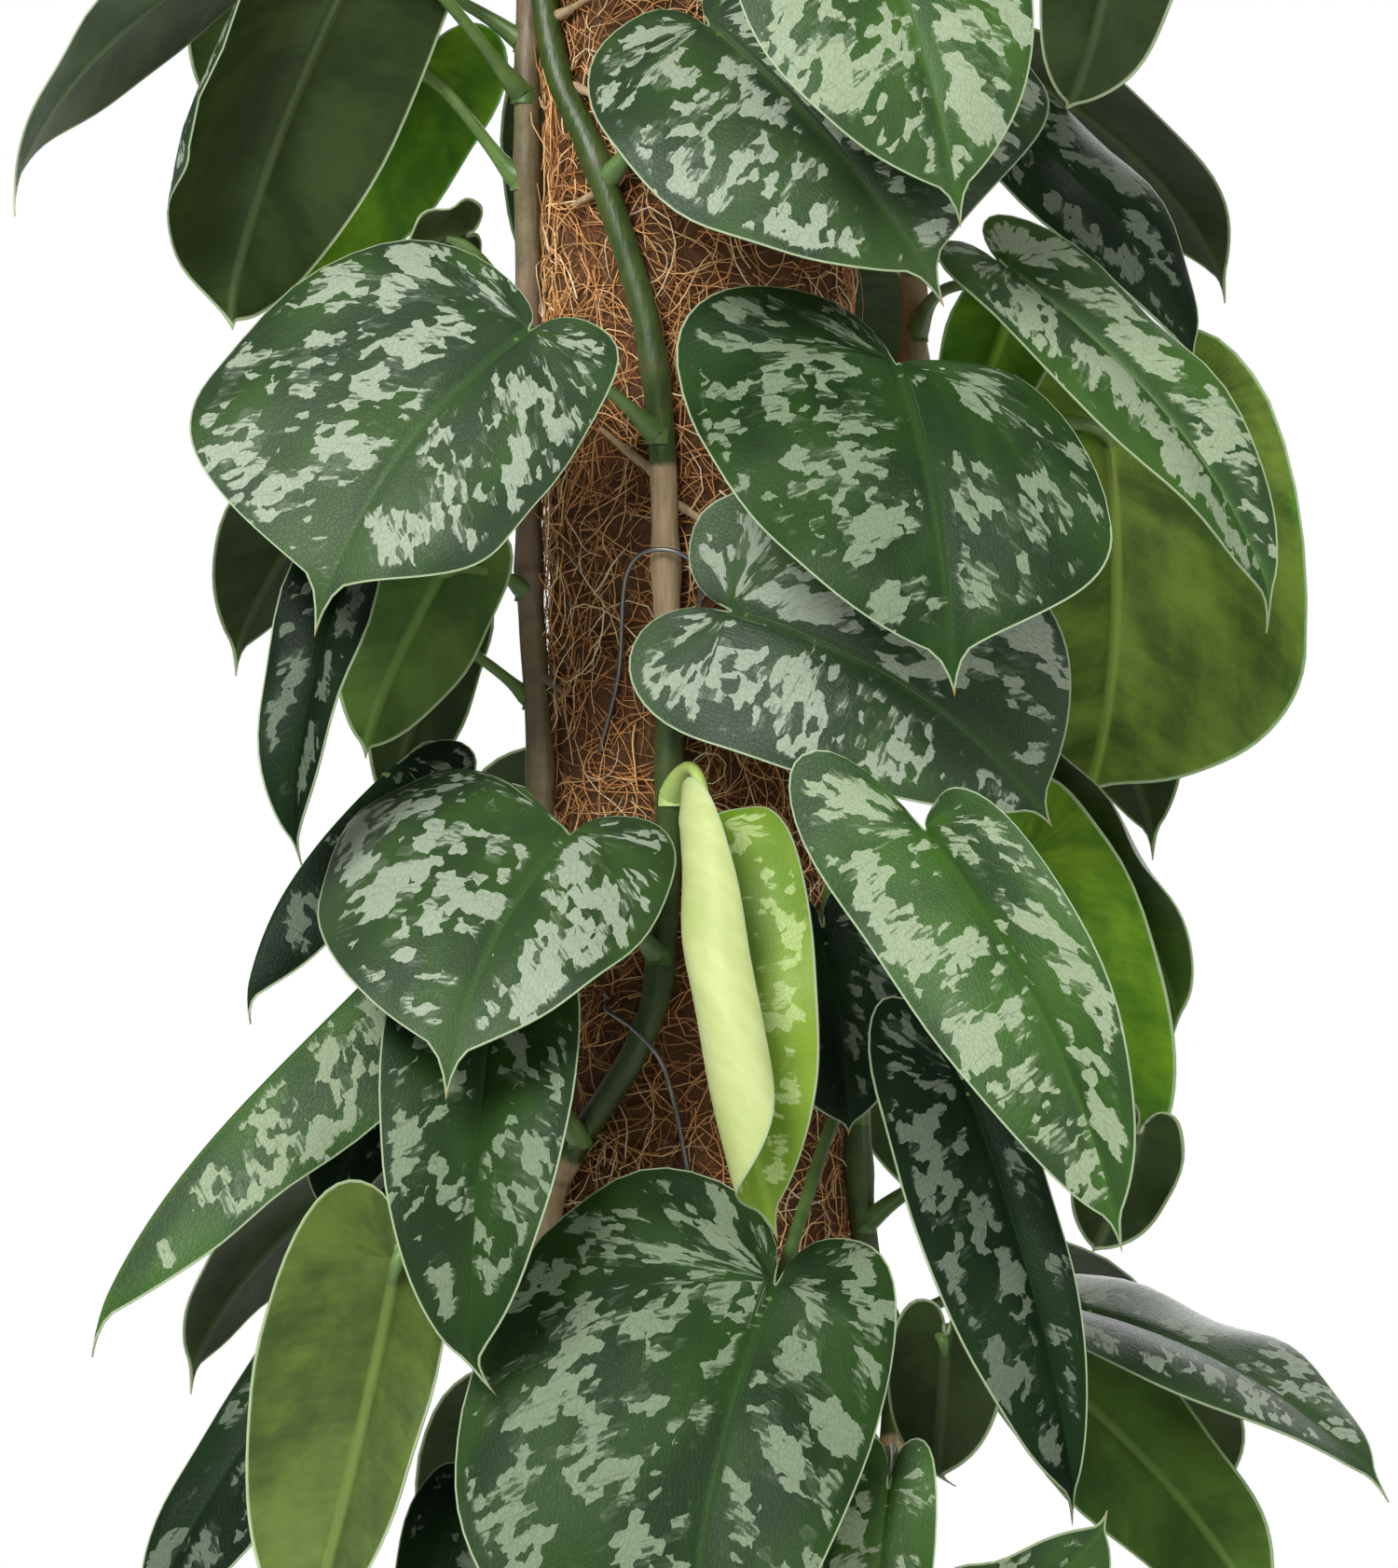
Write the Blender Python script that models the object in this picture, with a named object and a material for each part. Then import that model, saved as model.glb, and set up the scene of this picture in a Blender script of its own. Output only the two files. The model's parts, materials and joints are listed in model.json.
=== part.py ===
"""Satin pothos trained up a coir pole, in its nursery pot.

Lengths are millimetres in this file and become metres when a mesh is made. +Z is up, -Y is the front,
and the origin is the middle of the pot's underside. A bearing is an angle round the pole: 0 faces the
front, positive turns to the right, 180 is the back. Each leaf is one solid, its blade fused to its stalk.
"""
import math

import bmesh
import bpy
import numpy as np

MM = 0.001
GAP = 0.3  # clear space between pieces that touch
FOOT_GAP = 0.5  # the same where a stalk meets a stem, whose surface is round and slants

POT_HEIGHT = 190
POT_BASE_RADIUS = 75
POT_TOP_RADIUS = 100
POT_RIM_RADIUS = 105
POT_RIM_HEIGHT = 20
POT_WALL = 2.0
ROUND_SIDES = 30  # facets of the pot and of the soil in it
POT_FLOOR = 3.0
DRAIN_HOLES = 6
DRAIN_RADIUS = 6
DRAIN_CIRCLE = 45

SOIL_LEVEL = 170
SOIL_LUMP = 1.5

CORE_RADIUS = 14
CORE_FOOT = 8
CORE_TOP = 727

COIR_RADIUS = 35
COIR_FOOT = 30
COIR_TOP = 715
COIR_LUMP = 0.4

WIRE_RADIUS = 0.8
PIN_DEPTH = 14

STEM_RADIUS = 3.2
NODE_SPACING = 46
NODE_SWELL = 0.16

BLADE = 0.8  # blade thickness
MIDRIB = 1.1  # how far the midrib stands below the blade's middle at the stalk
STALK_FOOT = 1.9
STALK_NECK = 1.25
STALK_SIDES = 4

GREEN = (0.045, 0.095, 0.05)
YOUNG_GREEN = (0.28, 0.42, 0.1)
STEM_GREEN = (0.16, 0.23, 0.09)
STEM_BROWN = (0.21, 0.15, 0.09)
COIR_BROWN = (0.2, 0.09, 0.04)
WOOD = (0.42, 0.28, 0.15)
SOIL_BROWN = (0.035, 0.022, 0.014)
POT_BLACK = (0.02, 0.02, 0.021)
WIRE_GREY = (0.3, 0.3, 0.29)


def unit(v):
    v = np.asarray(v, float)
    return v / np.linalg.norm(v)


def material(name, colour, roughness, metallic=0.0):
    found = bpy.data.materials.get(name)
    if found:
        return found
    made = bpy.data.materials.new(name)
    made.use_nodes = True
    shader = made.node_tree.nodes["Principled BSDF"]
    shader.inputs["Base Color"].default_value = (*colour, 1)
    shader.inputs["Roughness"].default_value = roughness
    shader.inputs["Metallic"].default_value = metallic
    made.diffuse_color = (*colour, 1)
    return made


def add_object(name, verts, faces, mat):
    """A shaded object from points in millimetres."""
    mesh = bpy.data.meshes.new(name)
    mesh.from_pydata([tuple(float(c) * MM for c in v) for v in verts], [], faces)
    mesh.materials.append(mat)
    mesh.shade_smooth()
    mesh.set_sharp_from_angle(angle=math.radians(40))
    made = bpy.data.objects.new(name, mesh)
    bpy.context.scene.collection.objects.link(made)
    return made


def combine(target, tools, operation):
    """Applies one Boolean of all the tools to the target, then removes the tools."""
    group = bpy.data.collections.new("tools")
    bpy.context.scene.collection.children.link(group)
    for tool in tools:
        for home in list(tool.users_collection):
            home.objects.unlink(tool)
        group.objects.link(tool)
        tool.hide_render = True
        tool.display_type = "WIRE"
    cut = target.modifiers.new("combine", "BOOLEAN")
    cut.operand_type = "COLLECTION"
    cut.collection = group
    cut.operation = operation
    depsgraph = bpy.context.evaluated_depsgraph_get()
    result = bpy.data.meshes.new_from_object(target.evaluated_get(depsgraph))
    target.modifiers.clear()
    mat = target.data.materials[0]
    target.data = result
    result.materials.clear()
    result.materials.append(mat)
    for tool in tools:
        bpy.data.objects.remove(tool)
    bpy.data.collections.remove(group)
    tidy(result)
    return target


def tidy(mesh):
    """Welds the slivers that a Boolean leaves and splits its faces into triangles."""
    work = bmesh.new()
    work.from_mesh(mesh)
    bmesh.ops.remove_doubles(work, verts=work.verts, dist=0.02 * MM)
    bmesh.ops.dissolve_degenerate(work, edges=work.edges, dist=0.01 * MM)
    bmesh.ops.triangulate(work, faces=work.faces)
    work.to_mesh(mesh)
    work.free()
    mesh.polygons.foreach_set("material_index", [0] * len(mesh.polygons))
    mesh.shade_smooth()
    mesh.set_sharp_from_angle(angle=math.radians(40))


def cutter(start, end, radius, sides):
    """A round bar to cut a hole with."""
    bar = tube([start, end], (radius, radius), sides)
    return add_object("cutter", *bar, material("pole_wood", WOOD, 0.8))


def turned(name, profile, sides, mat, lump=None):
    """A closed solid turned about Z from (radius, height) points that run round its section."""
    rings = []
    verts = []
    for radius, height in profile:
        if radius == 0:
            rings.append([len(verts)] * sides)
            verts.append((0, 0, height))
            continue
        rings.append(list(range(len(verts), len(verts) + sides)))
        for i in range(sides):
            turn = 2 * math.pi * i / sides
            extra = lump(radius, height, turn) if lump else (0, 0)
            reach = radius + extra[0]
            verts.append((reach * math.cos(turn), reach * math.sin(turn), height + extra[1]))
    faces = []
    open_ended = profile[0][0] == 0
    last = len(rings) - 1 if open_ended else len(rings)
    for a in range(last):
        low, high = rings[a], rings[(a + 1) % len(rings)]
        for i in range(sides):
            j = (i + 1) % sides
            corners = [low[i], low[j], high[j], high[i]]
            kept = [c for n, c in enumerate(corners) if c != corners[n - 1]]
            if len(kept) > 2:
                faces.append(kept)
    return add_object(name, verts, faces, mat)


def bezier(a, b, c, d, count):
    """Points along a cubic Bezier curve."""
    t = np.linspace(0, 1, count)[:, None]
    a, b, c, d = (np.asarray(p, float) for p in (a, b, c, d))
    return a * (1 - t) ** 3 + 3 * b * t * (1 - t) ** 2 + 3 * c * t**2 * (1 - t) + d * t**3


def smooth_path(points, step):
    """A Catmull-Rom curve through the points, sampled about every step millimetres."""
    p = np.asarray(points, float)
    ends = np.vstack([2 * p[0] - p[1], p, 2 * p[-1] - p[-2]])
    path = []
    for i in range(1, len(ends) - 2):
        count = max(1, round(np.linalg.norm(ends[i + 1] - ends[i]) / step))
        for n in range(count):
            t = n / count
            path.append(
                0.5
                * (
                    2 * ends[i]
                    + (ends[i + 1] - ends[i - 1]) * t
                    + (2 * ends[i - 1] - 5 * ends[i] + 4 * ends[i + 1] - ends[i + 2]) * t**2
                    + (3 * ends[i] - ends[i - 1] - 3 * ends[i + 1] + ends[i + 2]) * t**3
                )
            )
    path.append(p[-1])
    return np.array(path)


def tube(path, radii, sides):
    """Points and faces of a closed tube along a path, with a radius at each point."""
    path = np.asarray(path, float)
    ahead = np.gradient(path, axis=0)
    ahead /= np.linalg.norm(ahead, axis=1)[:, None]
    across = np.cross(ahead[0], (0.3, 0.5, 0.81))
    verts = []
    for point, way, radius in zip(path, ahead, radii):
        across = unit(across - way * across.dot(way))
        other = np.cross(way, across)
        for i in range(sides):
            turn = 2 * math.pi * i / sides
            verts.append(point + radius * (math.cos(turn) * across + math.sin(turn) * other))
    faces = []
    for ring in range(len(path) - 1):
        for i in range(sides):
            a = ring * sides + i
            b = ring * sides + (i + 1) % sides
            faces.append((a, b, b + sides, a + sides))
    faces.append(tuple(range(sides - 1, -1, -1)))
    end = (len(path) - 1) * sides
    faces.append(tuple(range(end, end + sides)))
    return verts, faces


def round_pole(height, bearing, standoff, radius):
    """The point at a height and bearing, for a round piece that stands off the coir."""
    reach = COIR_RADIUS + COIR_LUMP + standoff + radius
    turn = math.radians(bearing)
    return np.array((reach * math.sin(turn), -reach * math.cos(turn), height))


# Each stem climbs the pole: its (height, bearing, standoff) points, from the soil to its growing end.
STEMS = {
    "front_stem": [
        (142, -52, 8), (172, -52, 8), (215, -62, 3), (270, -68, 0.6), (330, -68, 0.6), (383, -60, 0.6),
        (396, -48, 0.6), (419, -22, 0.6), (438, -13, 0.6), (478, -10, 0.6), (528, -11, 0.6), (563, -13, 0.6),
        (588, -19, 0.6), (622, -37, 0.6), (642, -55, 0.6), (665, -66, 0.6), (690, -62, 0.6), (712, -45, 0.6),
    ],
    "left_stem": [
        (142, -100, 8), (172, -100, 8), (215, -104, 3), (270, -106, 0.6), (340, -104, 0.6), (393, -92, 0.6),
        (438, -76, 0.6), (482, -68, 0.6), (527, -84, 0.6), (560, -88, 0.6), (600, -91, 0.8), (646, -92, 1.0),
        (680, -104, 0.6), (708, -112, 0.6),
    ],
    "right_stem": [
        (142, 74, 8), (172, 74, 8), (215, 78, 3), (270, 82, 1), (300, 86, 3), (334, 90, 6.5), (350, 90, 6.5),
        (362, 85, 3), (374, 77, 0.6), (402, 68, 0.6), (450, 72, 0.6), (500, 80, 0.8), (540, 86, 4),
        (573, 91, 10), (596, 92, 11), (625, 84, 5), (655, 74, 0.8), (690, 70, 0.6), (714, 66, 0.6),
    ],
    "back_left_stem": [
        (142, -150, 8), (172, -150, 8), (215, -148, 3), (280, -146, 0.6), (360, -152, 0.6), (440, -144, 0.6),
        (520, -150, 0.6), (600, -146, 0.6), (670, -150, 0.6), (700, -150, 0.6),
    ],
    "back_right_stem": [
        (142, 150, 8), (172, 150, 8), (215, 152, 3), (280, 148, 0.6), (360, 142, 0.6), (440, 148, 0.6),
        (520, 142, 0.6), (600, 148, 0.6), (670, 144, 0.6), (705, 144, 0.6),
    ],
}
STEM_PATHS = {}
for stem_name, marks in STEMS.items():
    STEM_PATHS[stem_name] = smooth_path([round_pole(*mark, STEM_RADIUS) for mark in marks], 13)


def stem_radii(path):
    """A little swelling at each node, and a taper over the last stretch to the growing end."""
    radii = []
    for x, y, z in path:
        off = (z % NODE_SPACING) - NODE_SPACING / 2
        swell = NODE_SWELL * math.exp(-((off / 5) ** 2))
        taper = min(1.0, 0.55 + (path[-1][2] - z) / 90)
        radii.append(STEM_RADIUS * 0.96 * taper * (1 + swell))
    return radii


def on_stem(stem, height):
    """The middle of a stem at a height, and its radius there."""
    path = STEM_PATHS[stem]
    middle = np.array([np.interp(height, path[:, 2], path[:, axis]) for axis in range(3)])
    return middle, np.interp(height, path[:, 2], stem_radii(path))


def leaf(name, stem, foot, sinus, tip, faces, left, right, **shape):
    """A leaf's own measures. foot is the height on its stem; left and right are its half widths,
    named as seen from above the leaf with its tip pointing down."""
    spec = dict(
        name=name, stem=stem, foot=foot, sinus=sinus, tip=tip, faces=faces, widths=(left, right),
        rise=18, droop=28, sway=0, twist=0, fold=(12, 12), cup=(-30, -30), wave=1.5, waves=1.7,
        lobes=(0.2, 0.2), widest=(0.24, 0.24), lean=(0, 0), drip=0.09, curl=(2, 0),
        lines=5 if stem.startswith("back") else 6, steps=2, young=False, bow=0.25, arrive=(0.8, 0.6),
    )
    spec.update(shape)
    return spec


LEAVES = [
    # the upper left group, mostly seen from below
    leaf("leaf_01", "left_stem", 672, (-95, -18, 677), (-156, -54, 608), (-0.65, 0.3, 0.7), 26, 24),
    leaf("leaf_02", "left_stem", 640, (-76, -26, 672), (-106, -54, 581), (-0.35, 0.9, 0.25), 28, 42,
         cup=(-20, -95), fold=(12, 10), widest=(0.24, 0.72), drip=0.06),
    leaf("leaf_03", "left_stem", 620, (-65, 3, 648), (-100, -2, 586), (-0.3, 0.85, 0.4), 26, 32),
    leaf("leaf_04", "left_stem", 585, (-53, -22, 606), (-68, -30, 598), (-0.3, 0.6, 0.7), 13, 11, lines=5),
    leaf("leaf_05", "front_stem", 560, (-38, -60, 582), (-86, -85, 513), (-0.2, -0.85, 0.45), 54, 33,
         sway=10, lines=9, steps=3, widest=(0.48, 0.52), lobes=(0.1, 0.14), cup=(-30, -45), droop=20,
         drip=0.14, lean=(-0.12, -0.1)),
    # the upper right group
    leaf("leaf_06", "right_stem", 655, (36, -77, 680), (58, -105, 602), (0.05, -0.8, 0.6), 36, 30,
         drip=0.11),
    leaf("leaf_07", "front_stem", 618, (2, -52, 651), (55, -85, 586), (0, -0.85, 0.5), 39, 50,
         lines=9, steps=3, widest=(0.2, 0.66), wave=2.5, lobes=(0.16, 0.14), drip=0.12, lean=(-0.15, 0)),
    leaf("leaf_08", "right_stem", 666, (97, -5, 680), (84, -12, 633), (0.35, 0.85, 0.3), 17, 16, lines=6),
    leaf("leaf_09", "right_stem", 645, (60, -24, 640), (114, -30, 572), (0.5, -0.6, 0.5), 20, 20),
    leaf("leaf_10", "right_stem", 585, (69, -60, 596), (129, -84, 514), (0.45, -0.6, 0.6), 20, 17,
         fold=(12, 34), lines=8, curl=(4, 0), lobes=(0.12, 0.12)),
    leaf("leaf_11", "right_stem", 550, (94, -2, 563), (88, -22, 476), (0.1, 0.95, 0.2), 45, 38,
         lines=9, steps=3, sway=12, fold=(8, 8), widest=(0.55, 0.3), droop=45),
    leaf("leaf_12", "right_stem", 530, (44, -72, 574), (56, -108, 499), (-0.1, -0.85, 0.5), 48, 38,
         lines=9, steps=3, widest=(0.16, 0.56), lobes=(0.26, -0.06), sway=-8, drip=0.12, lean=(0.5, -0.3)),
    # the middle, over the pole
    leaf("leaf_13", "front_stem", 500, (7, -54, 519), (80, -62, 470), (0.05, -0.95, 0.25), 32, 37,
         lines=9, steps=3, sway=-14, widest=(0.1, 0.5), cup=(-20, -20), wave=1, lobes=(0.2, 0.16)),
    leaf("leaf_14", "front_stem", 478, (2, -62, 471), (18, -86, 378), (0.1, -1, 0.05), 30, 23,
         young=True, fold=(10, -5), cup=(215, 40), lobes=(0.05, 0.05), lines=8, steps=5, wave=0,
         widest=(0.6, 0.32), bow=0.8, arrive=(1, 0.1)),
    leaf("leaf_15", "right_stem", 440, (50, -88, 470), (93, -115, 377), (0.2, -0.95, 0.0), 26, 19,
         lines=9, steps=3, sway=-8, fold=(4, 45), cup=(-20, -20), lobes=(0.3, 0.02), widest=(0.14, 0.3),
         arrive=(0.1, 1)),
    leaf("leaf_16", "front_stem", 442, (-29, -60, 469), (-56, -104, 411), (0, -0.65, 0.75), 58, 30,
         lines=9, steps=3, sway=8, widest=(0.24, 0.24), lobes=(-0.02, 0.16), cup=(-60, -35), droop=24,
         drip=0.14, lean=(0.45, 0)),
    leaf("leaf_17", "left_stem", 525, (-57, -19, 532), (-77, -23, 485), (-0.3, 0.9, 0.2), 17, 17, lines=6),
    leaf("leaf_18", "left_stem", 553, (-77, -50, 533), (-90, -64, 461), (-0.45, -0.8, 0.1), 13, 17,
         fold=(35, 45)),
    leaf("leaf_19", "left_stem", 476, (-69, -20, 485), (-103, -46, 426), (-0.65, -0.45, 0.6), 22, 20,
         fold=(-35, -45), cup=(-30, -20)),
    leaf("leaf_20", "left_stem", 500, (-58, -3, 516), (-71, -2, 470), (-0.3, 0.9, 0.1), 12, 12, lines=5),
    leaf("leaf_21", "left_stem", 430, (-66, -34, 446), (-138, -60, 352), (-0.6, -0.3, 0.7), 24, 26,
         fold=(-35, -40), cup=(-20, -20), rise=5, droop=20),
    leaf("leaf_22", "front_stem", 400, (-46, -72, 430), (-51, -98, 346), (-0.1, -0.95, 0.2), 24, 22,
         fold=(30, 30), curl=(-3, -7), widest=(0.14, 0.14)),
    # the lower left group
    leaf("leaf_23", "left_stem", 365, (-67, -78, 374), (-89, -96, 284), (0.15, 0.95, 0.2), 14, 27,
         lobes=(0.14, 0.16)),
    leaf("leaf_24", "left_stem", 350, (-75, -40, 371), (-128, -50, 280), (-0.4, -0.85, 0.4), 12, 22,
         rise=5),
    leaf("leaf_25", "left_stem", 405, (-72, -12, 410), (-86, -18, 380), (-0.3, -0.9, 0.2), 12, 12, lines=5),
    leaf("leaf_26", "right_stem", 405, (17, -80, 369), (-3, -116, 264), (-0.1, -0.95, 0.2), 60, 32,
         lines=9, steps=3, sway=8, widest=(0.38, 0.24), lobes=(0.18, 0.14)),
    # the lower right group
    leaf("leaf_27", "right_stem", 420, (59, -58, 414), (84, -74, 314), (0.25, -0.9, 0.2), 26, 11,
         fold=(30, 40)),
    leaf("leaf_28", "right_stem", 350, (85, -30, 361), (156, -60, 320), (0.15, -0.4, 0.9), 20, 21,
         lines=9, droop=20),
    leaf("leaf_29", "right_stem", 335, (82, -14, 345), (130, -44, 283), (0.3, 0.8, 0.4), 20, 22),
    leaf("leaf_30", "right_stem", 380, (99, -58, 402), (88, -62, 374), (0.3, 0.9, 0.1), 12, 13, lines=5),
    leaf("leaf_31", "right_stem", 455, (72, -36, 462), (97, -52, 382), (0.3, 0.9, 0.1), 24, 22),
    leaf("leaf_32", "right_stem", 480, (79, -22, 478), (109, -36, 422), (0.6, 0.7, 0.3), 22, 22,
         cup=(-70, -20)),
    leaf("leaf_33", "right_stem", 344, (56, -42, 356), (53, -50, 322), (0.1, 0.95, 0.2), 14, 13,
         lines=6, curl=(0, 5)),
    leaf("leaf_34", "right_stem", 320, (42, -84, 324), (37, -92, 266), (-0.1, -0.9, 0.4), 13, 12, lines=6),
    leaf("leaf_35", "right_stem", 300, (58, -76, 292), (91, -96, 319), (0.3, -0.7, -0.3), 18, 16),
    leaf("leaf_36", "left_stem", 330, (-52, -50, 318), (-62, -56, 278), (-0.1, -0.95, 0.2), 13, 13, lines=5),
    leaf("leaf_37", "right_stem", 470, (28, -45, 448), (34, -50, 400), (0.1, -0.95, 0.1), 19, 18, lines=6),
    leaf("leaf_38", "right_stem", 600, (72, -26, 590), (58, -30, 556), (0.2, 0.95, 0.1), 13, 13, lines=5),
    leaf("leaf_39", "left_stem", 652, (-97, 12, 672), (-114, 4, 636), (-0.3, 0.85, 0.3), 14, 14, lines=5),
    # above and below the photo
    leaf("leaf_40", "front_stem", 686, (-22, -52, 742), (-48, -92, 692), (-0.2, -0.7, 0.6), 30, 28, lines=5),
    leaf("leaf_41", "right_stem", 700, (30, -48, 752), (70, -84, 706), (0.2, -0.7, 0.6), 28, 30, lines=5),
    leaf("leaf_42", "left_stem", 695, (-62, -8, 734), (-124, -26, 696), (-0.5, -0.3, 0.8), 26, 28, lines=5),
    leaf("leaf_43", "front_stem", 265, (-58, -68, 264), (-98, -96, 204), (-0.35, -0.8, 0.45), 28, 26,
         lines=5),
    leaf("leaf_44", "front_stem", 230, (-14, -72, 250), (-28, -114, 196), (-0.1, -0.75, 0.6), 26, 28,
         lines=5),
    leaf("leaf_45", "right_stem", 262, (60, -56, 272), (104, -92, 210), (0.35, -0.75, 0.5), 26, 26, lines=5),
    leaf("leaf_46", "right_stem", 228, (82, -8, 250), (138, -26, 200), (0.6, -0.2, 0.75), 26, 25, lines=5),
    # round the back
    leaf("back_01", "back_left_stem", 690, (-48, 62, 728), (-86, 96, 672), (-0.5, 0.6, 0.6), 26, 28),
    leaf("back_02", "back_left_stem", 614, (-22, 74, 646), (-16, 114, 570), (-0.1, 0.85, 0.5), 30, 27),
    leaf("back_03", "back_left_stem", 540, (-64, 54, 570), (-112, 76, 506), (-0.6, 0.6, 0.5), 27, 30),
    leaf("back_04", "back_left_stem", 446, (-30, 72, 476), (-46, 114, 402), (-0.2, 0.85, 0.5), 31, 28),
    leaf("back_05", "back_left_stem", 368, (-68, 46, 396), (-122, 58, 336), (-0.6, 0.45, 0.6), 28, 24),
    leaf("back_06", "back_left_stem", 296, (-36, 70, 330), (-40, 114, 252), (-0.15, 0.85, 0.5), 27, 31),
    leaf("back_07", "back_left_stem", 236, (-68, 54, 262), (-114, 80, 206), (-0.6, 0.5, 0.6), 26, 26),
    leaf("back_08", "back_right_stem", 684, (38, 66, 720), (62, 104, 656), (0.4, 0.7, 0.6), 29, 26),
    leaf("back_09", "back_right_stem", 622, (72, 44, 650), (126, 54, 594), (0.6, 0.45, 0.6), 24, 28),
    leaf("back_10", "back_right_stem", 560, (26, 76, 596), (32, 118, 520), (0.1, 0.85, 0.5), 28, 31),
    leaf("back_11", "back_right_stem", 498, (68, 56, 530), (110, 84, 462), (0.55, 0.65, 0.5), 27, 25),
    leaf("back_12", "back_right_stem", 412, (42, 72, 442), (60, 112, 368), (0.3, 0.8, 0.5), 30, 28),
    leaf("back_13", "back_right_stem", 340, (74, 44, 368), (128, 58, 310), (0.6, 0.5, 0.6), 27, 27),
    leaf("back_14", "back_right_stem", 286, (22, 74, 320), (20, 116, 250), (0.05, 0.8, 0.55), 26, 28),
    leaf("back_15", "back_right_stem", 232, (66, 56, 262), (108, 80, 204), (0.55, 0.6, 0.6), 25, 27),
]


def half_outline(lobe, widest, drip, count=240):
    """One half of the flat blade, from the stalk round the lobe to the tip: shares of half width and
    of length, with the place along the curve. drip is the share of the length in the drawn-out tip."""
    neck = 1 - drip
    arcs = [
        ((0, 0), (0.03, -0.6 * lobe), (0.18, -lobe), (0.45, -lobe)),
        ((0.45, -lobe), (0.78, -lobe), (1, widest - 0.6 * (widest + lobe)), (1, widest)),
        ((1, widest), (1, widest + 0.58 * (neck - widest)), (0.47, neck - 0.08), (0.11, neck)),
        ((0.11, neck), (0.05, neck + 0.18 * drip), (0.02, neck + 0.5 * drip), (0, 1)),
    ]
    shares = (0.2, 0.25, 0.45, 0.1)
    points = []
    places = []
    start = 0
    for arc, share in zip(arcs, shares):
        steps = int(count * share)
        points.append(bezier(*arc, steps)[: None if arc is arcs[-1] else -1])
        places.append(np.linspace(start, start + share, steps)[: None if arc is arcs[-1] else -1])
        start += share
    points = np.vstack(points)
    places = np.concatenate(places)
    return lambda t: np.array([np.interp(t, places, points[:, 0]), np.interp(t, places, points[:, 1])])


def midrib_frame(spec, count=80):
    """The midrib's curve with its own directions: points, ahead, up, left, and length so far."""
    base, tip = np.array(spec["sinus"], float), np.array(spec["tip"], float)
    reach = np.linalg.norm(tip - base)
    chord = (tip - base) / reach
    up = np.array(spec["faces"], float)
    up = unit(up - chord * up.dot(chord))
    left = np.cross(chord, up)
    rise, droop, sway = (math.radians(spec[key]) for key in ("rise", "droop", "sway"))
    first = unit(chord + up * math.tan(rise) + left * math.tan(sway))
    final = unit(chord - up * math.tan(droop) - left * math.tan(sway))
    curve = bezier(base, base + first * reach * 0.36, tip - final * reach * 0.36, tip, count)
    ahead = np.gradient(curve, axis=0)
    ahead /= np.linalg.norm(ahead, axis=1)[:, None]
    ups = up - ahead * (ahead @ up)[:, None]
    ups /= np.linalg.norm(ups, axis=1)[:, None]
    lefts = np.cross(ahead, ups)
    turn = np.radians(spec["twist"]) * np.linspace(0, 1, count)[:, None]
    ups = ups * np.cos(turn) + lefts * np.sin(turn)
    lefts = np.cross(ahead, ups)
    so_far = np.concatenate([[0], np.cumsum(np.linalg.norm(np.diff(curve, axis=0), axis=1))])
    return curve, ahead, ups, lefts, so_far


def blade_surface(spec):
    """A function from flat blade coordinates, x to the left and y along the midrib, to space."""
    curve, ahead, ups, lefts, so_far = midrib_frame(spec)
    length = so_far[-1]

    def at(values, y):
        return np.stack([np.interp(y, so_far, values[:, axis]) for axis in range(3)], -1)

    def place(x, y):
        x, y = np.asarray(x, float), np.asarray(y, float)
        side = (x < 0).astype(int)
        width = np.array(spec["widths"])[side]
        fold = np.radians(np.array(spec["fold"], float))[side]
        bend = np.radians(np.array(spec["cup"], float))[side] / width
        bend = np.where(np.abs(bend) < 1e-6, 1e-6, bend)
        out = np.abs(x)
        y = y - np.array(spec["lean"])[side] * out * (1 - np.clip(y / length, 0, 1))
        across = (np.sin(fold + bend * out) - np.sin(fold)) / bend
        lift = (np.cos(fold) - np.cos(fold + bend * out)) / bend
        share = y / length
        ripple = np.sin(2 * math.pi * (spec["waves"] * share + 0.3 * side))
        lift = lift + spec["wave"] * (out / width) ** 2 * ripple
        hook = np.clip((share - 0.86) / 0.14, 0, 1) ** 2
        lift = lift - spec["curl"][0] * hook
        across = np.where(side == 1, -across, across) + spec["curl"][1] * hook
        behind = np.minimum(y, 0)[..., None] * ahead[0]
        return at(curve, y) + behind + at(lefts, y) * across[..., None] + at(ups, y) * lift[..., None]

    return place, length


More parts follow.
